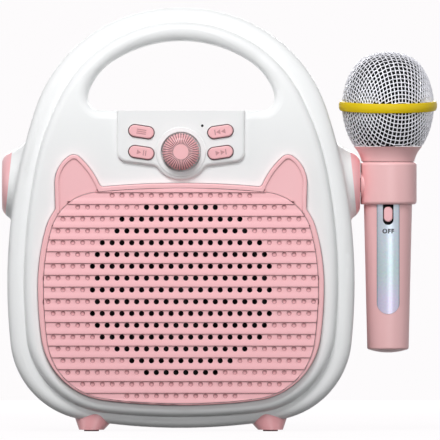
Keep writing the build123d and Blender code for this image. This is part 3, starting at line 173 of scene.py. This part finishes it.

# color and shade as seen on a screen; grain in metres of height
# each finish's corner strength sets how much painted shade darkens its corners and recesses
finishes = {
    "shellWhite": {"color": (246, 247, 247), "shade": (232, 234, 236), "cloud": 0.10,
                   "rough": 0.38, "grain": 3e-6, "mirror": 0.22, "cornerShade": 0.35},
    "pinkGloss": {"color": (248, 190, 194), "shade": (236, 166, 172), "cloud": 0.25,
                  "rough": 0.30, "grain": 4e-6, "cornerShade": 1.2},
    # painted shade: a darker copy of the pink, for the shade on the feet under the cabinet
    "pinkFootShaded": {"color": (222, 158, 162), "shade": (206, 138, 143), "cloud": 0.25,
                 "rough": 0.34, "grain": 5e-6},
    "pinkFrame": {"color": (250, 194, 198), "shade": (240, 172, 178), "cloud": 0.25,
                  "rough": 0.34, "grain": 5e-6},
    "pinkGrille": {"color": (249, 190, 195), "shade": (234, 158, 166), "cloud": 0.22,
                   "rough": 0.38, "grain": 6e-6, "cornerShade": 1.4},
    # painted light: a lighter copy of the pink, for the brighter light on the microphone and its
    # holder
    "pinkHandleLit": {"color": (250, 200, 201), "shade": (238, 182, 184), "cloud": 0.25,
                   "rough": 0.36, "grain": 5e-6, "mirror": 0.42},
    "ringYellow": {"color": (238, 208, 24), "shade": (216, 178, 10), "cloud": 0.35,
                   "rough": 0.36, "grain": 4e-6, "mirror": 0.2},
    "coneBlack": {"color": (26, 26, 27), "shade": (48, 48, 50), "cloud": 0.5,
                  "rough": 0.42, "grain": 2e-5},
    "rubberBlack": {"color": (22, 22, 23), "shade": (40, 40, 41), "cloud": 0.5,
                    "rough": 0.62, "grain": 1e-5},
    "padRubber": {"color": (196, 150, 150), "shade": (170, 124, 126), "cloud": 0.4,
                  "rough": 0.70, "grain": 1e-5},
    "blackPlastic": {"color": (20, 20, 22), "shade": (36, 36, 38), "cloud": 0.4,
                     "rough": 0.38, "grain": 8e-6},
    "slotBlack": {"color": (9, 9, 10), "shade": (20, 20, 21), "cloud": 0.4,
                  "rough": 0.6, "grain": 8e-6, "mirror": 0.1},
    "sliderGrey": {"color": (150, 151, 155), "shade": (124, 125, 130), "cloud": 0.4,
                   "rough": 0.45, "grain": 6e-6},
    "blackPaint": {"color": (24, 24, 25), "shade": (44, 44, 46), "cloud": 0.4,
                   "rough": 0.36, "grain": 6e-6},
    "ferrite": {"color": (54, 54, 58), "shade": (74, 74, 78), "cloud": 0.6,
                "rough": 0.62, "grain": 1e-5},
    "boardGreen": {"color": (24, 92, 52), "shade": (14, 66, 38), "cloud": 0.5,
                   "rough": 0.30, "grain": 4e-6},
    "cellSleeve": {"color": (48, 110, 176), "shade": (30, 82, 140), "cloud": 0.4,
                   "rough": 0.28, "grain": 4e-6},
    "darkWindow": {"color": (18, 16, 20), "shade": (34, 30, 36), "cloud": 0.3,
                   "rough": 0.12, "grain": 1e-6},
    # painted shade: the signs stand raised in the buttons' own pink, and this darker pink paints
    # the shade along their relief
    "symbolShadePink": {"color": (206, 146, 150), "shade": (190, 130, 134), "cloud": 0.4,
                  "rough": 0.45, "grain": 3e-6},
    "letterInk": {"color": (24, 24, 28), "shade": (44, 44, 50), "cloud": 0.4,
                  "rough": 0.45, "grain": 3e-6},
    "foamBlack": {"color": (10, 10, 11), "shade": (24, 24, 26), "cloud": 0.6,
                  "rough": 0.9, "grain": 2e-4},
    "platedSteel": {"color": (176, 178, 182), "shade": (150, 152, 156), "cloud": 0.5,
                    "rough": 0.28, "grain": 3e-6, "metal": 1.0},
    "socketSteel": {"color": (112, 114, 118), "shade": (90, 92, 96), "cloud": 0.5,
                    "rough": 0.48, "grain": 3e-6, "metal": 0.55, "cornerShade": 1.6},
    "meshWire": {"color": (247, 247, 252), "shade": (226, 227, 236), "cloud": 0.5,
                 "rough": 0.34, "grain": 3e-6, "metal": 0.25, "cornerShade": 0.0},
}


def plasticMaterial(name):
    finish = finishes[name]
    material = bpy.data.materials.new(name)
    material.use_nodes = True
    tree = material.node_tree
    shader = tree.nodes["Principled BSDF"]
    skin = tree.nodes.new("ShaderNodeGroup")
    skin.node_tree = mouldedSkin
    skin.inputs["Color"].default_value = linear(*finish["color"])
    skin.inputs["Shade"].default_value = linear(*finish["shade"])
    skin.inputs["Cloud Amount"].default_value = finish["cloud"]
    # how strongly painted shade darkens this finish's corners and recesses
    skin.inputs["Corner Shade"].default_value = finish.get("cornerShade", skinLook["cornerShade"])
    skin.inputs["Roughness"].default_value = finish["rough"]
    skin.inputs["Spread"].default_value = finish["rough"] * skinLook["spread"]
    bump = tree.nodes.new("ShaderNodeBump")
    bump.inputs["Strength"].default_value = skinLook["bump"]
    bump.inputs["Distance"].default_value = finish["grain"]
    tree.links.new(skin.outputs["Color"], shader.inputs["Base Color"])
    tree.links.new(skin.outputs["Roughness"], shader.inputs["Roughness"])
    tree.links.new(skin.outputs["Height"], bump.inputs["Height"])
    tree.links.new(bump.outputs["Normal"], shader.inputs["Normal"])
    shader.inputs["Metallic"].default_value = finish.get("metal", 0.0)
    shader.inputs["Specular IOR Level"].default_value = finish.get("mirror", skinLook["mirror"])
    return material


# silvery film: lavender at its foot, a breath of sea green below the middle, pale blue above;
# between holds shares of its height, each with the colour there
film = {
    "foot": (206, 202, 226), "top": (206, 212, 222),
    "between": ((0.10, (206, 202, 226)), (0.28, (192, 210, 214)), (0.55, (198, 209, 221))),
    "edge": (150, 168, 180), "edgeFrom": 5.4 * mm, "edgeTo": 6.2 * mm,
    "speckle": 0.35, "speckleScale": 900, "speckleDetail": 2, "metal": 0.25, "rough": 0.32,
}


def filmMaterial():
    material = bpy.data.materials.new("silverFilm")
    material.use_nodes = True
    tree = material.node_tree
    make, link = tree.nodes.new, tree.links.new
    shader = tree.nodes["Principled BSDF"]
    place = make("ShaderNodeTexCoord").outputs["Object"]
    split = make("ShaderNodeSeparateXYZ")
    link(place, split.inputs[0])
    ramp = make("ShaderNodeValToRGB")
    stops = ramp.color_ramp.elements
    stops[0].color = linear(*film["foot"])
    stops[1].color = linear(*film["top"])
    for share, color in film["between"]:
        stops.new(share).color = linear(*color)
    low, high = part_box("mic_strip")
    link(shareOf(tree, split.outputs["Z"], low.z, high.z), ramp.inputs["Fac"])
    aside = mathOf(tree, "ABSOLUTE", mathOf(tree, "SUBTRACT", split.outputs["X"], gripAxis.x))
    edge = shareOf(tree, aside, film["edgeFrom"], film["edgeTo"])
    tinted = mixOf(tree, "MIX", edge, ramp.outputs["Color"], linear(*film["edge"]))
    dust = noiseOf(tree, place, film["speckleScale"], film["speckleDetail"])["Color"]
    dusted = mixOf(tree, "SOFT_LIGHT", film["speckle"], tinted, dust)
    link(dusted, shader.inputs["Base Color"])
    shader.inputs["Metallic"].default_value = film["metal"]
    shader.inputs["Roughness"].default_value = film["rough"]
    return material


materials = {name: plasticMaterial(name) for name in finishes}
materials["silverFilm"] = filmMaterial()

dressing = {
    "shellWhite": ["front_shell", "rear_shell"],
    "pinkFrame": ["grille_surround"],
    "pinkGloss": ["volume_knob", "button_mode", "button_play", "button_previous", "button_next",
                  "side_cap_left", "side_cap_right", "mic_switch_slider"],
    # the feet take the darker pink of painted shade
    "pinkFootShaded": ["foot_front_left", "foot_front_right", "foot_rear_left", "foot_rear_right"],
    # the microphone's pieces take the lighter pink of painted light
    "pinkHandleLit": ["mic_grip", "mic_end_cap", "mic_holder", "mic_neck"],
    "padRubber": ["foot_pads"],
    "ringYellow": ["mic_ring"],
    "silverFilm": ["mic_strip"],
    "coneBlack": ["speaker_cone", "speaker_dust_cap"],
    "rubberBlack": ["speaker_surround", "speaker_gasket"],
    "blackPaint": ["speaker_basket"],
    "ferrite": ["speaker_magnet"],
    "platedSteel": ["speaker_back_plate", "speaker_screws", "volume_control",
                    "button_board_screws", "main_board_screws", "shell_screws", "pivot_washer",
                    "pivot_screw", "mic_capsule"],
    "socketSteel": ["charge_socket", "usb_socket", "card_socket"],
    "boardGreen": ["button_board", "main_board", "mic_board"],
    "blackPlastic": ["key_switches", "audio_socket", "power_switch_body", "battery_holder"],
    "slotBlack": ["mic_switch_body"],
    "sliderGrey": ["power_switch_slider"],
    "cellSleeve": ["battery_cell", "mic_cell"],
    "darkWindow": ["indicator_light"],
    "pinkGrille": ["speaker_grille"],
    "meshWire": ["mic_head_lower", "mic_head_upper"],
    "foamBlack": ["mic_foam"],
}


def dress(obj, material):
    if obj.material_slots:
        for slot in obj.material_slots:
            slot.material = materials[material]
    else:
        obj.data.materials.append(materials[material])


for finishName, members in dressing.items():
    for member in members:
        dress(nodes[member], finishName)
print("finishes on", sum(len(members) for members in dressing.values()), "of", len(nodes), "nodes")


def keepPiece(name, bm, body, material, smoothAngle=35):
    # turns a finished bmesh into a piece that rides on a body
    mesh = bpy.data.meshes.new(name)
    bm.to_mesh(mesh)
    bm.free()
    piece = bpy.data.objects.new(name, mesh)
    bpy.context.scene.collection.objects.link(piece)
    mesh.materials.append(materials[material])
    mesh.shade_smooth()
    mesh.set_sharp_from_angle(angle=radians(smoothAngle))
    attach(piece, body)
    return piece


def vertsOf(result):
    return [part for part in result["geom"] if isinstance(part, bmesh.types.BMVert)]


def edgesOf(result):
    return [part for part in result["geom"] if isinstance(part, bmesh.types.BMEdge)]


def surfaceOf(node):
    bm = bmesh.new()
    bm.from_mesh(nodes[node].data)
    tree = BVHTree.FromBMesh(bm)
    bm.free()
    return tree


def bmeshOfCurve(curve):
    source = bpy.data.objects.new(curve.name + "Lines", curve)
    bpy.context.scene.collection.objects.link(source)
    bpy.context.view_layer.update()
    solid = source.evaluated_get(bpy.context.evaluated_depsgraph_get())
    mesh = bpy.data.meshes.new_from_object(solid)
    bpy.data.objects.remove(source)
    bm = bmesh.new()
    bm.from_mesh(mesh)
    return bm


# a row is a recessed band with the holes and, above it, a plain bar that ramps back into the
# band of the row above; holes beyond openRadius or outside the open rows are blind dimples,
# and tiles nearer to the outline than dimpleMargin are plain
grille = {
    "rows": 18, "topRow": 130.1 * mm, "rowPitch": 6.5059 * mm, "holePitch": 5.42 * mm,
    "stepsAside": 15, "holeSides": 16, "holeRadius": 1.52 * mm, "dimpleRadius": 1.42 * mm,
    "openRadius": 51.0 * mm, "openMiddle": 78.75 * mm, "firstOpen": 1, "lastOpen": 15,
    "dimpleMargin": 2.4 * mm, "overhang": 6 * mm, "bandHalf": 1.7 * mm, "rampEnd": 2.7 * mm,
    "stepDepth": 0.65 * mm, "slopeDepth": 0.45 * mm, "lip": 0.12 * mm, "lipRise": 0.2,
    "sheet": 1.6 * mm, "edgeY": -41.15 * mm, "bulge": 1.4 * mm, "edgeGap": 0.14 * mm,
    # share of the radius and depth of each ring down a hole
    "holeRings": ((0.96, 0.08 * mm), (0.95, 1.5 * mm)),
    "dimpleRings": (
        (0.97, 0.08 * mm), (0.90, 0.80 * mm), (0.60, 0.88 * mm), (0.25, 0.90 * mm)),
}


def grilleTile(kind):
    # one hole with its share of the band, and the plain bar above it; z is depth towards the viewer
    half, band = grille["holePitch"] / 2, grille["bandHalf"]
    bm = bmesh.new()
    bmesh.ops.create_grid(bm, x_segments=4, y_segments=4, size=1)
    bmesh.ops.scale(bm, vec=(half, band, 1), verts=bm.verts)
    if kind != "plain":
        inner = [v for v in bm.verts if not v.is_boundary]
        bmesh.ops.delete(bm, geom=inner, context="VERTS")
        radius = grille[kind + "Radius"]
        mouth = bmesh.ops.create_circle(
            bm, segments=grille["holeSides"], radius=radius, cap_ends=False)["verts"]
        bmesh.ops.bridge_loops(bm, edges=bm.edges)
        rim = [e for e in bm.edges if e.is_boundary and all(v in mouth for v in e.verts)]
        for share, depth in grille[kind + "Rings"]:
            made = bmesh.ops.extrude_edge_only(bm, edges=rim)
            for v in vertsOf(made):
                flat = Vector((v.co.x, v.co.y, 0)).normalized() * radius * share
                v.co = (flat.x, flat.y, -depth)
            rim = edgesOf(made)
        if kind == "dimple":
            bmesh.ops.contextual_create(bm, geom=rim)
    for v in bm.verts:
        down = (band - v.co.y) / (2 * band)
        v.co.z -= grille["stepDepth"] * (1 - down) + grille["slopeDepth"] * down
    nearTop = band * 0.99
    edge = [e for e in bm.edges if e.is_boundary and min(v.co.y for v in e.verts) > nearTop]
    pitch, lip = grille["rowPitch"], grille["lip"]
    for height, depth in (
            (band + lip * grille["lipRise"], lip), (band + lip, 0),
            (pitch - grille["rampEnd"], 0), (pitch - band, grille["slopeDepth"])):
        made = bmesh.ops.extrude_edge_only(bm, edges=edge)
        for v in vertsOf(made):
            v.co.y, v.co.z = height, -depth
        edge = edgesOf(made)
    mesh = bpy.data.meshes.new("tile")
    bm.to_mesh(mesh)
    bm.free()
    return mesh


def sidesOf(node):
    # the node's convex outline seen from the front: each side's start, and its run to the next
    bm = bmesh.new()
    for v in nodes[node].data.vertices:
        bm.verts.new((v.co.x, 0, v.co.z))
    bmesh.ops.remove_doubles(bm, verts=bm.verts, dist=0.02 * mm)
    middle = middleOf(node)
    hull = bmesh.ops.convex_hull(bm, input=bm.verts)
    corners = {v for v in hull["geom"] if isinstance(v, bmesh.types.BMVert)}
    corners -= set(hull["geom_interior"])
    around = sorted(corners, key=lambda v: atan2(v.co.z - middle.z, v.co.x - middle.x))
    points = [v.co.copy() for v in around]
    bm.free()
    return [(here, there - here) for here, there in zip(points, points[1:] + points[:1])]


def tileKind(row, x, z, room):
    openRow = grille["firstOpen"] <= row <= grille["lastOpen"]
    if openRow and sqrt(x * x + (z - grille["openMiddle"]) ** 2) <= grille["openRadius"]:
        return "hole"
    return "dimple" if room > grille["dimpleMargin"] and row < grille["rows"] else "plain"


def makeGrille():
    tiles = {kind: grilleTile(kind) for kind in ("hole", "dimple", "plain")}
    sides = sidesOf("speaker_grille")
    bm = bmesh.new()

    def insideBy(x, z):
        # least distance from a point to the outline's sides
        return min(
            (run.x * (z - start.z) - run.z * (x - start.x)) / run.length for start, run in sides)

    count = 0
    for row in range(grille["rows"] + 1):
        z = grille["topRow"] - row * grille["rowPitch"]
        shift = grille["holePitch"] / 2 if row % 2 else 0
        for step in range(-grille["stepsAside"], grille["stepsAside"] + 1):
            x = step * grille["holePitch"] + shift
            room = insideBy(cabinetX + x, z)
            if room < -grille["overhang"]:
                continue
            kind = tileKind(row, x, z, room)
            count += kind == "hole"
            first = len(bm.verts)
            bm.from_mesh(tiles[kind])
            bm.verts.ensure_lookup_table()
            bmesh.ops.translate(bm, vec=(cabinetX + x, z, 0), verts=bm.verts[first:])
    bmesh.ops.remove_doubles(bm, verts=bm.verts, dist=0.01 * mm)
    bmesh.ops.transform(bm, matrix=Matrix.Rotation(radians(90), 4, "X"), verts=bm.verts)
    low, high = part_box("speaker_grille")
    middleZ, halfZ = (low.z + high.z) / 2, (high.z - low.z) / 2
    for v in bm.verts:
        v.co.y += grille["edgeY"] - grille["bulge"] * (1 - ((v.co.z - middleZ) / halfZ) ** 2)
    for start, run in sides:
        outward = Vector((run.z, 0, -run.x)).normalized()
        bmesh.ops.bisect_plane(
            bm, geom=bm.verts[:] + bm.edges[:] + bm.faces[:],
            plane_co=start - outward * grille["edgeGap"], plane_no=outward,
            clear_outer=True, dist=1e-7)
    bmesh.ops.recalc_face_normals(bm, faces=bm.faces)
    if sum(f.normal.y * f.calc_area() for f in bm.faces) > 0:  # the sheet has to face forwards
        bmesh.ops.reverse_faces(bm, faces=bm.faces)
    bmesh.ops.solidify(bm, geom=bm.faces[:], thickness=grille["sheet"])
    print("grille panel:", count, "open holes,", len(bm.faces), "faces")
    return keepPiece("grillePanel", bm, "cabinet", "pinkGrille")


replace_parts(makeGrille(), "speaker_grille")


# angle is between crossings and turn about the upright axis, both in degrees; reach is in
# crossings from the pole; pastRing and pastNeck are how far the wires run on out of sight
weave = {
    "angle": 5.1, "turn": 18.0, "reach": 24, "stretch": 0.09, "pull": 0.36,
    "wire": 0.30 * mm, "wave": 0.28 * mm, "pastRing": 1 * mm, "pastNeck": 0.5 * mm,
}


def clothPoint(across, along):
    # where a crossing of the square cloth lands on a ball: square at the pole, with its lines
    # drawn towards the two main axes and its diagonals stretched as it nears the rim
    step = radians(weave["angle"])
    reach, turn = sqrt(across ** 2 + along ** 2) * step, atan2(along, across)
    share = reach / (pi / 2)
    down = reach * (1 + weave["stretch"] * (share * sin(2 * turn)) ** 2)
    turn += weave["pull"] * min(share, 1) ** 2 * sin(4 * turn) / 4
    return Vector((sin(down) * cos(turn), sin(down) * sin(turn), cos(down)))


def wovenHalf(name, node, upward, lowZ, highZ):
    count = weave["reach"]
    skin = surfaceOf(node)
    turned = Matrix.Rotation(radians(weave["turn"]), 4, "Z")
    inset = weave["wire"] + weave["wave"]

    def place(point, offset):
        towards = turned @ Vector((point.x, point.y, point.z * upward))
        hit = skin.ray_cast(headCentre + towards * headProbe, -towards)[0]
        if hit is None:
            return None
        return hit - towards * (inset - offset)

    curve = bpy.data.curves.new(name, "CURVE")
    curve.dimensions = "3D"
    curve.bevel_depth = weave["wire"]
    curve.bevel_resolution = 1
    curve.resolution_u = 1

    def lay(points):
        if len(points) < 2:
            return
        spline = curve.splines.new("POLY")
        spline.points.add(len(points) - 1)
        for slot, co in zip(spline.points, points):
            slot.co = (co.x, co.y, co.z, 1)

    for across in (False, True):
        for line in range(-count, count + 1):
            run = []
            previous = None
            for k in range(-count, count + 1):
                here = clothPoint(k, line) if across else clothPoint(line, k)
                if here.z < 0:  # past the middle of the ball
                    lay(run)
                    run, previous = [], None
                    continue
                over = 1 if (k + line) % 2 else -1
                stops = []
                if previous is not None:
                    stops.append(place((previous + here).normalized(), 0))
                stops.append(place(here, weave["wave"] * (over if across else -over)))
                previous = here
                for co in stops:
                    if co is None or not lowZ <= co.z <= highZ:
                        lay(run)
                        run = []
                    else:
                        run.append(co)
            lay(run)
    bm = bmeshOfCurve(curve)
    print(name, len(bm.faces), "faces")
    return keepPiece(name, bm, "microphone", "meshWire", 60)


neckZ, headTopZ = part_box("mic_head_lower")[0].z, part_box("mic_head_upper")[1].z
wovenTop = wovenHalf(
    "wovenTop", "mic_head_upper", 1, headCentre.z - weave["pastRing"], headTopZ)
wovenBasket = wovenHalf(
    "wovenBasket", "mic_head_lower", -1, neckZ - weave["pastNeck"],
    headCentre.z + weave["pastRing"])
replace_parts(wovenTop, "mic_head_upper")
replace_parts(wovenBasket, "mic_head_lower")


# its outside is rounded at both edges and swells by crown to its middle; shoulder is the share
# of crown still missing at shoulderAt of the half height
ring = {
    "radius": 27.25 * mm, "depth": 2.2 * mm, "height": 5.3 * mm, "lean": 4.2, "steps": 128,
    "round": 0.75 * mm, "roundSteps": 6, "crown": 0.35 * mm, "shoulder": 0.15,
    "shoulderAt": 0.45,
}


def makeRing():
    # the band round the head's middle, its front lower than its back
    half, inner, outer = ring["height"] / 2, ring["radius"] - ring["depth"], ring["radius"]
    corner, crown = ring["round"], ring["crown"]
    section = [(inner, half)]
    for step in range(ring["roundSteps"] + 1):
        turn = pi / 2 * step / ring["roundSteps"]
        section.append(
            (outer - corner - crown + corner * sin(turn), half - corner + corner * cos(turn)))
    section += [(outer - ring["shoulder"] * crown, half * ring["shoulderAt"]), (outer, 0)]
    section += [(x, -z) for x, z in reversed(section[:-1])]
    bm = bmesh.new()
    loop = [bm.verts.new((x, 0, z)) for x, z in section]
    edges = [bm.edges.new((a, b)) for a, b in zip(loop, loop[1:] + loop[:1])]
    bmesh.ops.spin(
        bm, geom=loop + edges, cent=(0, 0, 0), axis=(0, 0, 1), angle=2 * pi,
        steps=ring["steps"], use_merge=True)
    bmesh.ops.remove_doubles(bm, verts=bm.verts, dist=1e-6)
    bmesh.ops.recalc_face_normals(bm, faces=bm.faces)
    lean = Matrix.Rotation(radians(ring["lean"]), 3, "X")
    bmesh.ops.rotate(bm, cent=(0, 0, 0), matrix=lean, verts=bm.verts)
    bmesh.ops.translate(bm, vec=headCentre, verts=bm.verts)
    return keepPiece("ringBand", bm, "microphone", "ringYellow", 40)


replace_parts(makeRing(), "mic_ring")


foam = {"around": 64, "upDown": 40, "insideBy": 0.7 * mm}


def makeFoam():
    # a full foam ball with a flat base, just inside the wires
    skin = surfaceOf("mic_foam")
    base = headCentre.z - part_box("mic_foam")[0].z
    bm = bmesh.new()
    bmesh.ops.create_uvsphere(
        bm, u_segments=foam["around"], v_segments=foam["upDown"], radius=1)
    for v in bm.verts:
        towards = v.co.normalized()
        hit = skin.ray_cast(headCentre + towards * headProbe, -towards)[0]
        reach = (hit - headCentre).length - foam["insideBy"] if hit else headProbe
        if towards.z < 0:
            reach = min(reach, base / -towards.z)
        v.co = headCentre + towards * reach
    return keepPiece("foamLiner", bm, "microphone", "foamBlack")


foamLiner = makeFoam()
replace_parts(foamLiner, "mic_foam")
print("ring and foam made")


marks = {
    "height": 2.9 * mm, "thick": 0.06 * mm, "tilt": 8.5, "bar": 0.5 * mm,
    "lineWidth": 5.2 * mm,
}
# each sign's button, its side of the knob (-1 left, 1 right), and its shapes with their
# offsets: up for a line, across for the others
signs = {
    "modeSign": ("button_mode", -1, (
        ("line", -1.05 * mm), ("line", 0), ("line", 1.05 * mm))),
    "playSign": ("button_play", -1, (
        ("arrowRight", -1.7 * mm), ("bar", 1.2 * mm), ("bar", 2.4 * mm))),
    "previousSign": ("button_previous", 1, (
        ("bar", -3.0 * mm), ("arrowLeft", -0.9 * mm), ("arrowLeft", 1.9 * mm))),
    "nextSign": ("button_next", 1, (
        ("arrowRight", -1.9 * mm), ("arrowRight", 0.9 * mm), ("bar", 3.0 * mm))),
}


def addArrow(bm, x, facing):
    made = bmesh.ops.create_circle(bm, segments=3, radius=marks["height"] / 2, cap_ends=True)
    turn = Matrix.Rotation(radians(-90 * facing), 4, "Z")
    bmesh.ops.transform(bm, matrix=turn, verts=made["verts"])
    bmesh.ops.translate(bm, vec=(x, 0, 0), verts=made["verts"])


def addBar(bm, x, y, wide, high):
    made = bmesh.ops.create_grid(bm, x_segments=1, y_segments=1, size=0.5)
    bmesh.ops.scale(bm, vec=(wide, high, 1), verts=made["verts"])
    bmesh.ops.translate(bm, vec=(x, y, 0), verts=made["verts"])


def makeSign(name):
    node, side, shapes = signs[name]
    bm = bmesh.new()
    for shape, offset in shapes:
        if shape == "line":
            addBar(bm, 0, offset, marks["lineWidth"], marks["bar"])
        elif shape == "bar":
            addBar(bm, offset, 0, marks["bar"], marks["height"])
        else:
            addArrow(bm, offset, 1 if shape == "arrowRight" else -1)
    made = bmesh.ops.extrude_face_region(bm, geom=bm.faces[:])
    bmesh.ops.translate(bm, vec=(0, 0, marks["thick"]), verts=vertsOf(made))
    bmesh.ops.recalc_face_normals(bm, faces=bm.faces)
    # onto the button's front, with its outer end up
    middle = middleOf(node)
    front = Matrix.Translation((middle.x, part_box(node)[0].y, middle.z))
    tilt = Matrix.Rotation(radians(-side * marks["tilt"]), 4, "Y")
    upright = Matrix.Rotation(radians(90), 4, "X")
    bmesh.ops.transform(bm, matrix=front @ tilt @ upright, verts=bm.verts)
    # the signs take the darker pink of painted shade
    keepPiece(name, bm, node, "symbolShadePink", 20)


for signName in signs:
    makeSign(signName)


# rays towards the strip start at castFrom, in front of it
word = {
    "text": "OFF", "size": 3.3 * mm, "z": 110.3 * mm, "spacing": 1.18, "weight": 0.17 * mm,
    "proud": 0.04 * mm, "sunk": 0.02 * mm, "castFrom": -100 * mm,
}


def makeSwitchWord():
    curve = bpy.data.curves.new("switchWord", "FONT")
    curve.body = word["text"]
    curve.size = word["size"]
    curve.space_character = word["spacing"]
    curve.offset = word["weight"]
    curve.align_x = "CENTER"
    curve.align_y = "CENTER"
    curve.resolution_u = 4
    bm = bmeshOfCurve(curve)
    bmesh.ops.transform(bm, matrix=Matrix.Rotation(radians(90), 4, "X"), verts=bm.verts)
    bmesh.ops.translate(bm, vec=(gripAxis.x, 0, word["z"]), verts=bm.verts)
    made = bmesh.ops.extrude_face_region(bm, geom=bm.faces[:])
    outer = set(vertsOf(made))
    skin = surfaceOf("mic_strip")
    for v in bm.verts:
        hit = skin.ray_cast(Vector((v.co.x, word["castFrom"], v.co.z)), Vector((0, 1, 0)))[0]
        v.co.y = hit.y - (word["proud"] if v in outer else -word["sunk"])
    bmesh.ops.recalc_face_normals(bm, faces=bm.faces)
    keepPiece("switchWord", bm, "microphone", "letterInk", 20)


makeSwitchWord()
print("marks made")


# where it is seen, the floor glows with the world's colour times paperGlow, and softFloor
# lets the lamps add the rest, except in the shadow; floorBounce is what it gives the object
studio = {
    "floor": 3.0, "paper": (253, 251, 252), "paperGlow": 0.965, "softFloor": 0.06,
    "floorBounce": 0.04, "air": (0.93, 0.95, 1.0, 1), "ambient": 0.12, "lampAim": 120 * mm,
}
lamps = {
    "keyLamp": {"place": (-0.15, -0.8, 0.9), "wide": 0.5, "high": 0.4, "power": 8.4},
    "faceLamp": {"place": (0.4, -1.6, 0.2), "wide": 0.6, "high": 0.6, "power": 7.6},
    "leftLamp": {"place": (-1.3, -0.4, 0.3), "wide": 0.6, "high": 0.9, "power": 4.4},
    "rightLamp": {"place": (1.4, -0.4, 0.3), "wide": 0.6, "high": 0.9, "power": 2.6},
    "backLamp": {"place": (0.0, 1.5, 0.6), "wide": 0.9, "high": 0.6, "power": 14.0},
}


def seenDirectly(tree):
    # 1 for what the camera sees, also mirrored or through glass; 0 for light only scattered
    rays = tree.nodes.new("ShaderNodeLightPath").outputs
    mirrored = mathOf(tree, "MAXIMUM", rays["Is Camera Ray"], rays["Is Glossy Ray"])
    return mathOf(tree, "MAXIMUM", mirrored, rays["Is Transmission Ray"])


def paperMaterial():
    # white to the camera, with the object's shadow left on it
    material = bpy.data.materials.new("paper")
    material.use_nodes = True
    tree = material.node_tree
    make, link = tree.nodes.new, tree.links.new
    tree.nodes.remove(tree.nodes["Principled BSDF"])
    matte = make("ShaderNodeBsdfDiffuse")
    matte.inputs["Color"].default_value = grey(studio["floorBounce"])
    glow = make("ShaderNodeEmission")
    glow.inputs["Color"].default_value = linear(*studio["paper"])
    glow.inputs["Strength"].default_value = studio["paperGlow"]
    soft = make("ShaderNodeBsdfDiffuse")
    soft.inputs["Color"].default_value = grey(studio["softFloor"])
    both = make("ShaderNodeAddShader")
    link(glow.outputs[0], both.inputs[0])
    link(soft.outputs[0], both.inputs[1])
    seen = make("ShaderNodeMixShader")
    link(seenDirectly(tree), seen.inputs[0])
    link(matte.outputs[0], seen.inputs[1])
    link(both.outputs[0], seen.inputs[2])
    link(seen.outputs[0], tree.nodes["Material Output"].inputs["Surface"])
    return material


def makeFloor():
    bm = bmesh.new()
    bmesh.ops.create_grid(bm, x_segments=1, y_segments=1, size=studio["floor"] / 2)
    mesh = bpy.data.meshes.new("floor")
    bm.to_mesh(mesh)
    bm.free()
    mesh.materials.append(paperMaterial())
    floor = bpy.data.objects.new("floor", mesh)
    bpy.context.scene.collection.objects.link(floor)


def makeWorld():
    world = bpy.data.worlds.new("studio")
    bpy.context.scene.world = world
    world.use_nodes = True
    tree = world.node_tree
    make, link = tree.nodes.new, tree.links.new
    air = tree.nodes["Background"]
    air.inputs["Color"].default_value = studio["air"]
    air.inputs["Strength"].default_value = studio["ambient"]
    wall = make("ShaderNodeBackground")
    wall.inputs["Color"].default_value = linear(*studio["paper"])
    wall.inputs["Strength"].default_value = 1.0
    mix = make("ShaderNodeMixShader")
    link(seenDirectly(tree), mix.inputs[0])
    link(air.outputs[0], mix.inputs[1])
    link(wall.outputs[0], mix.inputs[2])
    link(mix.outputs[0], tree.nodes["World Output"].inputs["Surface"])


def addLamp(name):
    lamp = lamps[name]
    light = bpy.data.lights.new(name, "AREA")
    light.shape = "RECTANGLE"
    light.size = lamp["wide"]
    light.size_y = lamp["high"]
    light.energy = lamp["power"]
    stand = bpy.data.objects.new(name, light)
    bpy.context.scene.collection.objects.link(stand)
    stand.location = lamp["place"]
    aim = Vector((0, 0, studio["lampAim"])) - stand.location
    stand.rotation_euler = aim.to_track_quat("-Z", "Y").to_euler()


# far off, with a long lens; across is the width in view at the object's front
camera = {
    "distance": 9.0, "rise": 0.0, "turn": 0.0, "across": 242.9 * mm, "front": 30 * mm,
    "aimX": 0.1 * mm, "aimZ": 116.6 * mm, "sensor": 36.0, "clipEnd": 50,
}


def makeCamera():
    view = bpy.data.cameras.new("camera")
    eye = bpy.data.objects.new("camera", view)
    bpy.context.scene.collection.objects.link(eye)
    rise, turn = radians(camera["rise"]), radians(camera["turn"])
    aim = Vector((camera["aimX"], 0, camera["aimZ"]))
    away = Vector((sin(turn) * cos(rise), -cos(turn) * cos(rise), sin(rise)))
    eye.location = aim + away * camera["distance"]
    eye.rotation_euler = (-away).to_track_quat("-Z", "Y").to_euler()
    view.sensor_width = camera["sensor"]
    view.sensor_fit = "HORIZONTAL"
    view.lens = camera["sensor"] * (camera["distance"] - camera["front"]) / camera["across"]
    view.clip_end = camera["clipEnd"]
    bpy.context.scene.camera = eye


makeFloor()
makeWorld()
for lampName in lamps:
    addLamp(lampName)
makeCamera()
bpy.context.scene.view_settings.view_transform = "Standard"
print("studio ready")
